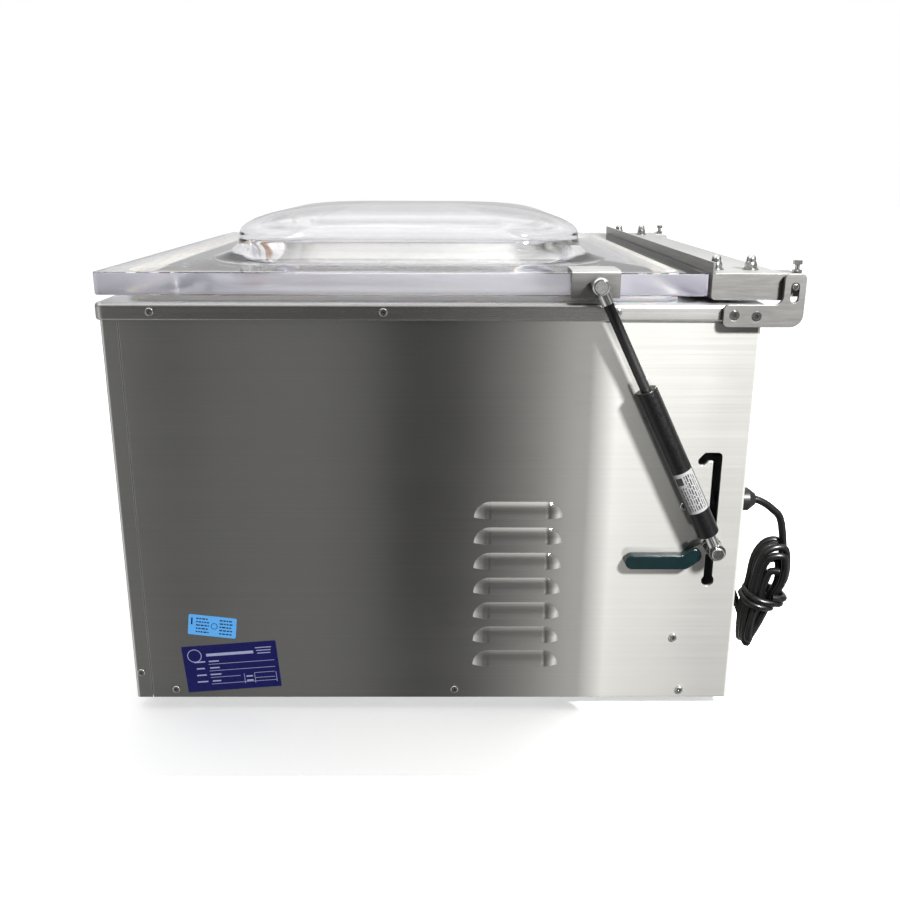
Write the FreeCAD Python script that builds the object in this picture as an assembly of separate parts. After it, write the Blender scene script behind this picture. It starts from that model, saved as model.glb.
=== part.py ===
"""Benchtop chamber vacuum packing machine, in millimetres.

+X is the operator's right, where the gas spring is; -Y is the front, +Y the hinge side; +Z is up.
Everything is drawn about a point on the floor under the cabinet's centre. It is written out about the
middle of the whole machine's box, still on the floor.
"""
import FreeCAD, Part
import math
import os

V = FreeCAD.Vector
EAST, NORTH, UP = V(1, 0, 0), V(0, 1, 0), V(0, 0, 1)

# Cabinet
CABINET_W = 607.0
CABINET_D = 632.0
FOOT_H = 14.0
PANEL_TOP = 419.0
SHEET = 1.5
FRONT_WRAP = 17.0
SEAM = 1.0
POST_LEG = 16.0
POST_T = 2.0

# Top deck and chamber
DECK_OVERHANG = 4.0
DECK_H = 17.0
DECK_SKIN = 2.5
DECK_RIM = 8.5
CHAMBER_HALF_W = 272.0
CHAMBER_FRONT = -280.0
CHAMBER_REAR = 222.0
CHAMBER_FLOOR = 312.0
CHAMBER_WALL = 2.0
CHAMBER_CORNER_R = 25.0

# Lid and its gasket
GASKET_H = 7.0
GASKET_W = 12.0
GASKET_INSET = 18.0
LID_T = 21.5
LID_FRONT = -318.0
LID_REAR = 262.5
DOME_CENTRE_Y = -27.0
DOME_WALL = 8.0
DOME_HALF = 221.0
DOME_RISE = 54.0
# Half length of the crown, the shoulder that rounds into it, and the flare at the dome's foot
DOME_CROWN_HALF = 60.0
DOME_SHOULDER_HALF = 190.0
DOME_FLARE = 31.0
DOME_STEPS = 9

# Lid hinge
HINGE_Y = 341.0
HINGE_Z = 453.0
HINGE_BAR_Y = (265.0, 336.0)
HINGE_BAR_H = 25.0
HINGE_LIP_H = 10.0
HINGE_PIN_R = 3.0
HINGE_PIN_START = 290.0
CROSS_SCREW_R = 2.2
BUSH_R = 3.95
SLOT_HALF_W = 4.0
RUNNING_GAP = 0.05
BRACKET_T = 4.0
BRACKET_STAND_OFF = 3.0
BRACKET_Y = (276.0, 351.0)
BRACKET_FOOT_Z = (415.0, 436.0)
BRACKET_ARM_Y = 331.0
BRACKET_TOP = 465.0
BRACKET_SINK = 2.5

# Gas spring, its slot in the side panel and its release lever
SPRING_X = 323.5
SPRING_TOP = (157.0, 454.0)
SPRING_FOOT = (285.5, 191.0)
SPRING_TUBE_R = 11.0
SPRING_TUBE_LENGTH = 160.0
SPRING_ROD_R = 5.0
J_SLOT_W = 9.0
J_SLOT_TOP = 283.5
J_SLOT_HOOK = (270.5, 279.0)
KEYHOLE_Z = 150.0
KEYHOLE_R = 6.5
SLOT_PIN_R = 4.0

# Louvres
LOUVRE_BOTTOMS = [53.0 + 27.7 * i for i in range(7)]
LOUVRE_Y = (43.0, 133.0)
LOUVRE_RISE = 17.0
LOUVRE_DEPTH = 5.0
LOUVRE_SKIN = 1.2

# Screws on each side: (y, z) on the panel and on the deck's edge
PANEL_SCREWS = [(-273.0, 24.0), (24.0, 24.0), (265.0, 23.0), (254.0, 85.0), (255.0, 232.0), (-308.5, 44.0)]
DECK_SCREWS = [(-266.0, 427.5), (-45.0, 427.5), (177.0, 427.5)]
BRACKET_SCREWS = [(286.0, 426.0), (307.0, 425.0)]

# Seal bar
SEAL_BAR_Y = (-270.0, -246.0)
SEAL_BAR_HALF_W = 220.0
SEAL_BAR_TOP = 418.5
PISTON_X = 150.0
PISTON_R = 6.0

# The lid's counter bar, above the seal bar
COUNTER_Y = (-272.0, -244.0)
COUNTER_HALF_W = 225.0
COUNTER_STUD_X = 200.0

# Pump, motor and fan, on one axis
MOTOR_Y = 125.0
MOTOR_Z = 108.0

# Front controls
BUTTON_R = 7.0
BUTTON_Z = 348.0
GAUGE_X = 130.0
GAUGE_Z = 347.0
STOP_X = 215.0
STOP_Z = 347.0
ROCKER_X = 253.0
ROCKER_TILT = 7.0

# Power cord
CORD_R = 4.0
CORD_X = 253.5
CORD_LOOPS = 3
CORD_LOOP_PITCH = 8.5
PLUG = (204.0, 330.0)
PLUG_TOP = 112.0
GLAND_Z = 222.0
COIL_Y = 367.0
COIL_HALF_W = 23.0

# The ends of the whole machine's box: the left hinge pin and the spring's tube, then the stop button and the
# cord's tie
BOX_X = (-315.7, 334.5)
BOX_Y = (-342.0, 397.0)

# Worked out from the sizes above
PANEL_X = CABINET_W / 2
FRONT_Y = -CABINET_D / 2
REAR_Y = CABINET_D / 2
DECK_X = PANEL_X + DECK_OVERHANG
DECK_Y = REAR_Y + DECK_OVERHANG
DECK_TOP = PANEL_TOP + DECK_H
LID_Z = DECK_TOP + GASKET_H
LID_TOP = LID_Z + LID_T


def box(x, y, z):
    """A block between the low and high values of each pair."""
    return Part.makeBox(x[1] - x[0], y[1] - y[0], z[1] - z[0], V(x[0], y[0], z[0]))


def cylinder(start, axis, length, radius):
    return Part.makeCylinder(radius, length, V(*start), axis)


def union(shapes):
    first, rest = shapes[0], list(shapes[1:])
    return first.multiFuse(rest).removeSplitter() if rest else first


def group(shapes):
    """Identical or matching pieces that share one node as separate solids."""
    return Part.makeCompound(list(shapes))


def mirrored(shape):
    return shape.mirror(V(0, 0, 0), EAST)


def pair(shape):
    return group([shape, mirrored(shape)])


def parallel_edges(shape, axis):
    """The straight edges that run along an axis."""
    found = []
    for edge in shape.Edges:
        ends = edge.Vertexes
        if len(ends) == 2:
            run = ends[1].Point - ends[0].Point
            if abs(abs(run.normalize().dot(axis)) - 1) < 1e-6:
                found.append(edge)
    return found


def slab(x, y, z, radius):
    """A block whose upright edges are rounded."""
    plain = box(x, y, z)
    return plain.makeFillet(radius, parallel_edges(plain, UP))


def edges_at_height(shape, z):
    return [e for e in shape.Edges if abs(e.BoundBox.ZMin - z) < 1e-6 and abs(e.BoundBox.ZMax - z) < 1e-6]


def placed(shape, point, outward):
    """Moves a shape built along +Z from the origin to a point, turned to face outward."""
    moved = shape.copy()
    moved.Placement = FreeCAD.Placement(V(*point), FreeCAD.Rotation(UP, outward))
    return moved


def hexagon(across_flats, height):
    corner = across_flats / math.sqrt(3)
    ring = [V(corner * math.cos(i * math.pi / 3), corner * math.sin(i * math.pi / 3), 0) for i in range(7)]
    return Part.Face(Part.makePolygon(ring)).extrude(V(0, 0, height))


def stadium(start, end, width, x):
    """A round-ended slot cutter between two (y, z) points, through the x pair."""
    length = x[1] - x[0]
    ends = [cylinder((x[0], y, z), EAST, length, width / 2) for y, z in (start, end)]
    run = V(0, end[0] - start[0], end[1] - start[1])
    side = run.cross(EAST).normalize() * (width / 2)
    a, b = V(x[0], *start), V(x[0], *end)
    outline = Part.makePolygon([a + side, b + side, b - side, a - side, a + side])
    web = Part.Face(outline).extrude(EAST * length)
    return union([web] + ends)


def swept(points, radius, leave, arrive):
    """A round cord along a smooth curve drawn towards the points, with its end directions given."""
    places = [V(*p) for p in points]
    reach = 2 * radius + 4.0
    poles = [places[0], places[0] + leave * reach] + places[1:-1] + [places[-1] - arrive * reach, places[-1]]
    curve = Part.BSplineCurve()
    curve.buildFromPoles(poles)
    path = Part.Wire([curve.toShape()])
    ring = Part.Wire([Part.makeCircle(radius, places[0], leave)])
    return path.makePipeShell([ring], True, True)


# ---- fasteners ----

def pan_screw(shank_length, shank_r=2.0, head_r=4.1, head_h=2.4):
    """A cross-recess pan head screw. Its head sits on z = 0 and faces +Z."""
    head = Part.makeCylinder(head_r, head_h)
    head = head.makeFillet(1.2, edges_at_height(head, head_h))
    for turn in (0, 90):
        arm = Part.makeBox(4.4, 0.9, 1.3, V(-2.2, -0.45, head_h - 1.2))
        arm.rotate(V(0, 0, 0), UP, turn)
        head = head.cut(arm)
    return head.fuse(Part.makeCylinder(shank_r, shank_length, V(0, 0, -shank_length)))


def both_sides(screw, x, places):
    """A screw at each (y, z) place on the right-hand side and on the left."""
    return group([placed(screw, (side * x, y, z), V(side, 0, 0)) for side in (1, -1) for y, z in places])


def panel_screws():
    """Both sides' screws: through the sheet and into the frame."""
    screw = pan_screw(3.4)
    return both_sides(screw, PANEL_X, PANEL_SCREWS)


def deck_screws():
    screw = pan_screw(6.0)
    return both_sides(screw, DECK_X, DECK_SCREWS)


def screw_holes(places, x_low, x_high, radius):
    return [cylinder((x_low, y, z), EAST, x_high - x_low, radius) for y, z in places]


def bracket_outer_x():
    return DECK_X + BRACKET_STAND_OFF + BRACKET_T


def hinge_bracket_screws():
    """Socket cap screws sunk in the hinge brackets."""
    head = Part.makeCylinder(4.5, 2.4)
    socket = hexagon(4.0, 2.0).translate(V(0, 0, 0.8))
    shank_length = BRACKET_STAND_OFF + BRACKET_T - BRACKET_SINK + 6.0
    screw = head.cut(socket).fuse(Part.makeCylinder(2.5, shank_length, V(0, 0, -shank_length)))
    return both_sides(screw, bracket_outer_x() - BRACKET_SINK, BRACKET_SCREWS)


# ---- cabinet ----

def base_tray():
    """A folded tray with upturned edges and an air inlet."""
    half_w = PANEL_X - SHEET - POST_T - 0.5
    half_d = REAR_Y - SHEET - POST_T - 0.5
    outer = box((-half_w, half_w), (-half_d, half_d), (FOOT_H, FOOT_H + 28))
    inner_w, inner_d = half_w - SHEET, half_d - SHEET
    inner = box((-inner_w, inner_w), (-inner_d, inner_d), (FOOT_H + SHEET, FOOT_H + 30))
    tray = outer.cut(inner)
    slots = [box((x - 3, x + 3), (-60, 60), (FOOT_H - 1, FOOT_H + 3)) for x in range(-180, -59, 20)]
    holes = [cylinder((x, y, FOOT_H - 1), UP, 4, 3.1) for x, y in foot_places()]
    return tray.cut(group(slots + holes))


def foot_places():
    return [(x, y) for x in (-245.0, 245.0) for y in (-250.0, 250.0)]


def rubber_feet():
    """Tapered rubber feet, each held by its moulded stem."""
    feet = []
    for x, y in foot_places():
        foot = Part.makeCone(15.0, 18.0, FOOT_H, V(x, y, 0))
        foot = foot.makeFillet(1.5, edges_at_height(foot, 0))
        feet.append(foot.fuse(cylinder((x, y, FOOT_H), UP, 8.0, 3.0)))
    return group(feet)


def frame_posts():
    """Four corner angles, with a cross rail behind the foot of each side panel and a slot guide rail."""
    outer_x = PANEL_X - SHEET
    outer_y = REAR_Y - SHEET
    z = (FOOT_H + 2, PANEL_TOP)
    posts = []
    for y_sign in (-1, 1):
        far = y_sign * outer_y
        side_leg = sorted((far, far - y_sign * POST_LEG))
        end_leg = sorted((far, far - y_sign * POST_T))
        along_side = box((outer_x - POST_T, outer_x), side_leg, z)
        along_end = box((outer_x - 30, outer_x), end_leg, z)
        posts.append(union([along_side, along_end]))
    rail_end = outer_y - POST_LEG - 0.5
    rail = box((outer_x - POST_T, outer_x), (-rail_end, rail_end), (FOOT_H + 2, FOOT_H + 22))
    holes = group(screw_holes(PANEL_SCREWS, outer_x - 10, PANEL_X, 2.1))
    right = [shape.cut(holes) for shape in posts + [rail]]
    return group(right + [mirrored(shape) for shape in right])


def slot_guide_plate():
    """A thick plate behind the right panel that carries the spring's slot."""
    outer_x = PANEL_X - SHEET
    plate = slab_x((outer_x - 3, outer_x), (240, 295), (62, 300), 5)
    plate = plate.cut(j_slot((outer_x - 4, outer_x + 1)))
    return plate.cut(group(screw_holes(PANEL_SCREWS, outer_x - 4, PANEL_X, 2.1)))


def slab_x(x, y, z, radius):
    """A block whose edges along X are rounded."""
    plain = box(x, y, z)
    return plain.makeFillet(radius, parallel_edges(plain, EAST))


def j_slot(x):
    """The spring pin's path: a hook at the top, a straight run and a keyhole at the foot."""
    y = SPRING_FOOT[0]
    run = stadium((y, KEYHOLE_Z), (y, J_SLOT_TOP), J_SLOT_W, x)
    bend = (J_SLOT_HOOK[0] + 4, J_SLOT_TOP)
    hook = [stadium((y, J_SLOT_TOP), bend, J_SLOT_W, x), stadium(bend, J_SLOT_HOOK, J_SLOT_W, x)]
    keyhole = cylinder((x[0], y, KEYHOLE_Z), EAST, x[1] - x[0], KEYHOLE_R)
    return union([run, keyhole] + hook)


def capsule(radius, centre_x, z):
    """A round-ended bar along Y, whose skin bulges through the panel as far as a louvre."""
    y0, y1 = LOUVRE_Y[0] + LOUVRE_RISE, LOUVRE_Y[1] - LOUVRE_RISE
    bar = cylinder((centre_x, y0, z), NORTH, y1 - y0, radius)
    return union([bar] + [Part.makeSphere(radius, V(centre_x, y, z)) for y in (y0, y1)])


def louvred(panel):
    """Presses the louvres out of a right-hand panel. Each opens downwards."""
    radius = (LOUVRE_RISE ** 2 + LOUVRE_DEPTH ** 2) / (2 * LOUVRE_DEPTH)
    centre_x = PANEL_X + LOUVRE_DEPTH - radius
    y = (LOUVRE_Y[0] - 5, LOUVRE_Y[1] + 5)
    hoods = []
    hollows = []
    for bottom in LOUVRE_BOTTOMS:
        hood_space = box((PANEL_X - SHEET, PANEL_X + 10), y, (bottom, bottom + LOUVRE_RISE + 2))
        hoods.append(capsule(radius, centre_x, bottom).common(hood_space))
        hollow_space = box((PANEL_X - SHEET - 1, PANEL_X + 10), y, (bottom - 0.01, bottom + LOUVRE_RISE + 2))
        hollows.append(capsule(radius - LOUVRE_SKIN, centre_x, bottom).common(hollow_space))
    return panel.fuse(hoods).cut(hollows)


def side_panel():
    """The sheet that both sides share, with its rear flange, louvres and screw holes."""
    z = (FOOT_H, PANEL_TOP)
    sheet = box((PANEL_X - SHEET, PANEL_X), (FRONT_Y + FRONT_WRAP + SEAM, REAR_Y), z)
    flange = box((PANEL_X - 14, PANEL_X), (REAR_Y - SHEET, REAR_Y), z)
    panel = union([sheet, flange])
    corner = [e for e in parallel_edges(panel, UP) if abs(e.BoundBox.XMax - PANEL_X) < 1e-6
              and abs(e.BoundBox.YMax - REAR_Y) < 1e-6]
    panel = louvred(panel.makeFillet(2.5, corner))
    return panel.cut(group(screw_holes(PANEL_SCREWS, PANEL_X - 20, PANEL_X + 1, 2.2)))


def right_side_panel():
    return side_panel().cut(j_slot((PANEL_X - SHEET - 1, PANEL_X + 1)))


def left_side_panel():
    return mirrored(side_panel())


def front_panel():
    """A wrapped front sheet, with openings for the controls."""
    z = (FOOT_H, PANEL_TOP)
    outer = box((-PANEL_X, PANEL_X), (FRONT_Y, FRONT_Y + FRONT_WRAP), z)
    corners = [e for e in parallel_edges(outer, UP) if abs(e.BoundBox.YMin - FRONT_Y) < 1e-6]
    outer = outer.makeFillet(3.5, corners)
    inner = box((-PANEL_X + SHEET, PANEL_X - SHEET), (FRONT_Y + SHEET, FRONT_Y + 20), (z[0] - 1, z[1] + 1))
    panel = outer.cut(inner)
    through = (FRONT_Y - 1, FRONT_Y + 5)
    holes = [front_hole(x, BUTTON_Z, BUTTON_R + 0.3) for x in button_places()]
    holes += [front_hole(GAUGE_X, GAUGE_Z, 27.2), front_hole(STOP_X, STOP_Z, 8.3)]
    holes.append(box((ROCKER_X - 10, ROCKER_X + 10), through, (GAUGE_Z - 14, GAUGE_Z + 14)))
    holes.append(box(display_x(), through, display_z()))
    holes += screw_holes([PANEL_SCREWS[-1]], -PANEL_X - 1, PANEL_X + 1, 2.2)
    return panel.cut(group(holes))


def front_hole(x, z, radius):
    return cylinder((x, FRONT_Y - 5, z), NORTH, 20, radius)


def rear_panel():
    """The back sheet, with rows of air slots and the cord's hole."""
    half_w = PANEL_X - 14.5
    sheet = box((-half_w, half_w), (REAR_Y - SHEET, REAR_Y), (FOOT_H, PANEL_TOP))
    cuts = [cylinder((CORD_X, REAR_Y - 5, GLAND_Z), NORTH, 10, 8.1)]
    for row in range(9):
        z = 90.0 + row * 14
        for centre in (-170.0, -60.0, 50.0):
            cuts.append(box((centre - 42, centre + 42), (REAR_Y - 5, REAR_Y + 5), (z, z + 5)))
    return sheet.cut(group(cuts))


def top_deck():
    """The rounded stainless deck, open over the chamber and hollow beneath."""
    deck = slab((-DECK_X, DECK_X), (-DECK_Y, DECK_Y), (PANEL_TOP, DECK_TOP), 9)
    deck = deck.makeFillet(4.5, edges_at_height(deck, DECK_TOP))
    deck = deck.makeFillet(2.5, edges_at_height(deck, PANEL_TOP))
    pocket_x, pocket_y = DECK_X - DECK_RIM, DECK_Y - DECK_RIM
    pocket = box((-pocket_x, pocket_x), (-pocket_y, pocket_y), (PANEL_TOP - 1, DECK_TOP - DECK_SKIN))
    opening = slab((-CHAMBER_HALF_W, CHAMBER_HALF_W), (CHAMBER_FRONT, CHAMBER_REAR),
                   (PANEL_TOP, DECK_TOP + 1), CHAMBER_CORNER_R)
    holes = []
    for places, radius in ((DECK_SCREWS, 2.1), (BRACKET_SCREWS, 2.6)):
        holes += screw_holes(places, pocket_x - 1, DECK_X + 1, radius)
        holes += screw_holes(places, -DECK_X - 1, -pocket_x + 1, radius)
    return deck.cut(group([pocket, opening])).cut(group(holes))


def vacuum_chamber():
    """The deep-drawn tub, hung by its flange under the deck's skin."""
    top = DECK_TOP - DECK_SKIN
    wall = CHAMBER_WALL
    outer = slab((-CHAMBER_HALF_W - wall, CHAMBER_HALF_W + wall), (CHAMBER_FRONT - wall, CHAMBER_REAR + wall),
                 (CHAMBER_FLOOR - wall, top), CHAMBER_CORNER_R + wall)
    outer = outer.makeFillet(12, edges_at_height(outer, CHAMBER_FLOOR - wall))
    inner = slab((-CHAMBER_HALF_W, CHAMBER_HALF_W), (CHAMBER_FRONT, CHAMBER_REAR), (CHAMBER_FLOOR, top + 1),
                 CHAMBER_CORNER_R)
    inner = inner.makeFillet(10, edges_at_height(inner, CHAMBER_FLOOR))
    flange = slab((-CHAMBER_HALF_W - 16, CHAMBER_HALF_W + 16), (CHAMBER_FRONT - 16, CHAMBER_REAR + 16),
                  (top - wall, top), 40)
    port = cylinder((-180, 150, CHAMBER_FLOOR - 5), UP, 10, 13.1)
    return union([outer, flange]).cut(inner).cut(port)


def lid_gasket():
    """A soft ring round the chamber, that the lid presses on."""
    x = DECK_X - GASKET_INSET
    y0, y1 = LID_FRONT + GASKET_INSET, LID_REAR - GASKET_INSET
    outer = slab((-x, x), (y0, y1), (DECK_TOP, LID_Z), 34)
    outer = outer.makeFillet(2.5, edges_at_height(outer, LID_Z))
    inner = slab((-x + GASKET_W, x - GASKET_W), (y0 + GASKET_W, y1 - GASKET_W), (DECK_TOP - 1, LID_Z + 1),
                 34 - GASKET_W)
    return outer.cut(inner)


# ---- lid ----

def dome_outline(half_x, half_y, radius, z):
    """A closed rounded rectangle at one height."""
    x, y, r = half_x, half_y, radius
    s = r * (1 - math.sqrt(0.5))
    cy = DOME_CENTRE_Y
    edges = []
    for turn in range(4):
        a, b = ((x, y), (y, x))[turn % 2]
        spin = FreeCAD.Rotation(UP, 90 * turn)
        points = [V(a, -b + r, 0), V(a, b - r, 0), V(a - s, b - s, 0), V(a - r, b, 0)]
        p = [spin.multVec(q) + V(0, cy, z) for q in points]
        edges += [Part.makeLine(p[0], p[1]), Part.Arc(p[1], p[2], p[3]).toShape()]
    return Part.Wire(edges)


def dome_profile():
    """Half length and rise of the dome's outlines: a flared foot, then a rounded shoulder up to the crown."""
    flare_rise = DOME_RISE * 0.45
    profile = []
    for i in range(DOME_STEPS):
        turn = math.pi / 2 * i / (DOME_STEPS - 1)
        profile.append((DOME_HALF - DOME_FLARE * math.sin(turn), flare_rise * (1 - math.cos(turn))))
    for i in range(1, DOME_STEPS):
        turn = math.pi / 2 * i / (DOME_STEPS - 1)
        half = DOME_CROWN_HALF + (DOME_SHOULDER_HALF - DOME_CROWN_HALF) * math.cos(turn) ** 0.8
        profile.append((half, flare_rise + (DOME_RISE - flare_rise) * math.sin(turn)))
    return profile


def dome(shrink, drop):
    """The crowned pillow of the lid, or its hollow when shrunk and dropped."""
    outlines = []
    for half, rise in dome_profile():
        size = half - shrink
        outlines.append(dome_outline(size - 1, size, 0.42 * size, LID_TOP + rise - drop))
    return Part.makeLoft(outlines, True, True)


def lid_shell():
    """The clear lid: a thick flange drawn up into a hollow dome."""
    plate = slab((-DECK_X, DECK_X), (LID_FRONT, LID_REAR), (LID_Z, LID_TOP), 7)
    plate = plate.makeChamfer(0.8, edges_at_height(plate, LID_TOP) + edges_at_height(plate, LID_Z))
    hollow = dome(DOME_WALL, DOME_WALL)
    well_half = DOME_HALF - DOME_WALL
    well_wire = dome_outline(well_half - 1, well_half, 0.42 * well_half, LID_Z - 1)
    well = Part.Face(well_wire).extrude(V(0, 0, LID_T - DOME_WALL + 1))
    shell = plate.fuse(dome(0, 0)).cut(well.fuse(hollow))
    middle = sum(COUNTER_Y) / 2
    tapped = [cylinder((side * COUNTER_STUD_X, middle, LID_Z - 1), UP, 8, 2.6) for side in (1, -1)]
    return shell.cut(group(tapped))


def hinge_bar():
    """A closed stainless box behind the lid, with a lip in front, a tongue below and pin lugs behind."""
    z0 = LID_TOP - HINGE_BAR_H
    half_w = DECK_X - 1.5
    bar = box((-half_w, half_w), HINGE_BAR_Y, (z0, LID_TOP))
    bar = bar.makeFillet(4.0, parallel_edges(bar, EAST))
    hollow = box((-half_w + 3, half_w - 3), (HINGE_BAR_Y[0] + 2.5, HINGE_BAR_Y[1] - 2.5),
                 (z0 + 2.5, LID_TOP - 2.5))
    lip_y = HINGE_BAR_Y[0]
    lip = box((-half_w, half_w), (lip_y, lip_y + 2), (LID_TOP - 8, LID_TOP + HINGE_LIP_H))
    tongue = box((-half_w + 20, half_w - 20), (LID_REAR - 14, HINGE_BAR_Y[0] + 8), (LID_Z - 2, LID_Z))
    lugs = []
    for side in (1, -1):
        lug = box(sorted((side * 272, side * half_w)), (HINGE_BAR_Y[1] - 6, HINGE_Y + 11), (LID_Z, LID_TOP))
        rear = [e for e in parallel_edges(lug, EAST) if e.BoundBox.YMin > HINGE_Y]
        lugs.append(lug.makeFillet(4, rear))
    bar = union([bar.cut(hollow), lip, tongue] + lugs)
    holes = [cylinder((side * HINGE_PIN_START, HINGE_Y, HINGE_Z), EAST * side, 20, HINGE_PIN_R)
             for side in (1, -1)]
    holes += [cylinder((x, y, HINGE_Z - 20), UP, 40, CROSS_SCREW_R) for x, y in cross_screw_places()]
    holes += [cylinder((x, y, LID_TOP - 5), UP, 10, 3.1) for x, y in acorn_nut_places()]
    return bar.cut(group(holes))


def acorn_nut_places():
    return [(x, y) for x in (-268.0, 268.0) for y in (278.0, 312.0)]


def hinge_bar_nuts():
    """Domed nuts on washers, each on the stud that clamps the bar."""
    washer = Part.makeCylinder(7.5, 1.5)
    nut = hexagon(10.5, 6.0).common(Part.makeCone(7.2, 5.2, 6.0)).translate(V(0, 0, 1.5))
    cap = Part.makeCylinder(4.6, 3.0, V(0, 0, 7.5)).fuse(Part.makeSphere(4.6, V(0, 0, 10.0)))
    stud = Part.makeCylinder(3.0, 2.5, V(0, 0, -2.5))
    whole = union([washer, nut, cap, stud])
    return group([placed(whole, (x, y, LID_TOP), UP) for x, y in acorn_nut_places()])


def hinge_pins():
    """Round-nosed pins that carry the lid in the brackets' upright slots."""
    length = bracket_outer_x() + 1.2 - HINGE_PIN_START
    pin = Part.makeCylinder(HINGE_PIN_R, length)
    pin = pin.makeFillet(1.0, edges_at_height(pin, length))
    return both_sides(pin, HINGE_PIN_START, [(HINGE_Y, HINGE_Z)])


def cross_screw_places():
    """Just behind each hinge pin."""
    return [(side * 299.0, HINGE_Y + HINGE_PIN_R + CROSS_SCREW_R + 0.1) for side in (1, -1)]


def cross_screws():
    """Screws down through the hinge bar's lugs, each with a lock nut, that keep the pins in place."""
    shank = Part.makeCylinder(CROSS_SCREW_R, 27.0, V(0, 0, -19.0))
    screw = union([shank, hexagon(7.5, 3.8).translate(V(0, 0, 8.0))])
    lock_nut = hexagon(8.0, 3.0).cut(Part.makeCylinder(CROSS_SCREW_R + RUNNING_GAP, 4))
    shapes = []
    for x, y in cross_screw_places():
        shapes += [placed(screw, (x, y, LID_TOP), UP), placed(lock_nut, (x, y, LID_TOP), UP)]
    return group(shapes)


def hinge_bushes():
    """Plastic bushes that slide up and down in the brackets' slots."""
    ring = Part.makeCylinder(BUSH_R, BRACKET_T).cut(Part.makeCylinder(HINGE_PIN_R + RUNNING_GAP, BRACKET_T))
    return both_sides(ring, bracket_outer_x() - BRACKET_T, [(HINGE_Y, HINGE_Z)])


def hinge_bracket():
    """An L-shaped plate stood off the deck by two bosses, with the lid pin's upright slot."""
    x = (bracket_outer_x() - BRACKET_T, bracket_outer_x())
    y0, y1 = BRACKET_Y
    z0, foot_top = BRACKET_FOOT_Z
    foot = box(x, BRACKET_Y, BRACKET_FOOT_Z)
    arm = box(x, (BRACKET_ARM_Y, y1), (z0, BRACKET_TOP))
    plate = union([foot, arm])
    outer_corner = [e for e in parallel_edges(plate, EAST)
                    if e.BoundBox.YMin > y1 - 1 and e.BoundBox.ZMin < z0 + 1]
    plate = plate.makeFillet(12, outer_corner)
    small = [e for e in parallel_edges(plate, EAST)
             if e.BoundBox.ZMin > BRACKET_TOP - 1 or e.BoundBox.YMax < y0 + 1]
    plate = plate.makeFillet(5, small)
    inner_corner = [e for e in parallel_edges(plate, EAST)
                    if abs(e.BoundBox.YMin - BRACKET_ARM_Y) < 1e-3 and abs(e.BoundBox.ZMin - foot_top) < 1e-3]
    plate = plate.makeFillet(8, inner_corner)
    bosses = [cylinder((DECK_X, y, z), EAST, BRACKET_STAND_OFF, 5.0) for y, z in BRACKET_SCREWS]
    plate = union([plate] + bosses)
    slot = stadium((HINGE_Y, HINGE_Z - 11), (HINGE_Y, HINGE_Z), 2 * SLOT_HALF_W, (x[0] - 1, x[1] + 1))
    holes = screw_holes(BRACKET_SCREWS, DECK_X - 1, x[1] + 1, 2.6)
    sinks = screw_holes(BRACKET_SCREWS, x[1] - BRACKET_SINK, x[1] + 1, 4.7)
    return plate.cut(group([slot])).cut(group(holes)).cut(group(sinks))


def hinge_brackets():
    return pair(hinge_bracket())


def counter_bar():
    """The lid's rail that the seal bar presses against, with two fixing studs."""
    half_w = COUNTER_HALF_W
    y0, y1 = COUNTER_Y
    rail = slab((-half_w, half_w), COUNTER_Y, (LID_Z - 10, LID_Z), 3)
    groove = box((-half_w + 10, half_w - 10), (y0 + 5, y1 - 5), (LID_Z - 11, LID_Z - 8))
    studs = [cylinder((side * COUNTER_STUD_X, (y0 + y1) / 2, LID_Z), UP, 6.5, 2.5) for side in (1, -1)]
    return union([rail.cut(groove)] + studs)


def counter_silicone():
    half_w = COUNTER_HALF_W - 10.5
    strip = box((-half_w, half_w), (COUNTER_Y[0] + 5.5, COUNTER_Y[1] - 5.5), (LID_Z - 14, LID_Z - 8))
    return strip.makeFillet(1.5, [e for e in parallel_edges(strip, EAST) if e.BoundBox.ZMax < LID_Z - 13])


def lid_spring_bracket():
    """An angle hooked over the lid's edge."""
    t = 3.0
    y = (132, 178)
    web = box((DECK_X, DECK_X + t), y, (LID_Z - 1.5, LID_TOP + t))
    flange = box((DECK_X - 38, DECK_X + t), y, (LID_TOP, LID_TOP + t))
    angle = union([web, flange])
    bend = [e for e in parallel_edges(angle, NORTH)
            if e.BoundBox.XMin > DECK_X + 1 and e.BoundBox.ZMin > LID_TOP + 1]
    angle = angle.makeFillet(2.8, bend)
    tips = [e for e in parallel_edges(angle, UP) if e.BoundBox.XMax < DECK_X - 30]
    return angle.makeFillet(5, tips)


def stud_nut():
    """The ball stud's hexagon and root, screwed to the lid's angle."""
    nut = hexagon(12.0, 3.2)
    root = Part.makeCylinder(4.0, 1.0, V(0, 0, 3.2))
    return placed(union([nut, root]), (DECK_X + 3, *SPRING_TOP), EAST)


# ---- gas spring ----

def spring_length():
    return math.dist(SPRING_TOP, SPRING_FOOT)


def spring_tilt():
    """Degrees that the closed lid's spring leans forward from upright."""
    run = SPRING_FOOT[0] - SPRING_TOP[0]
    rise = SPRING_TOP[1] - SPRING_FOOT[1]
    return math.degrees(math.atan2(run, rise))


def on_spring(shape):
    """Moves a shape built up from the spring's foot to the spring's place."""
    moved = shape.copy()
    moved.Placement = FreeCAD.Placement(V(SPRING_X, *SPRING_FOOT), FreeCAD.Rotation(EAST, spring_tilt()))
    return moved


SPRING_TUBE_START = 20.0
SPRING_TUBE_END = SPRING_TUBE_START + SPRING_TUBE_LENGTH
SOCKET_NECK = 18.0


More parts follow.
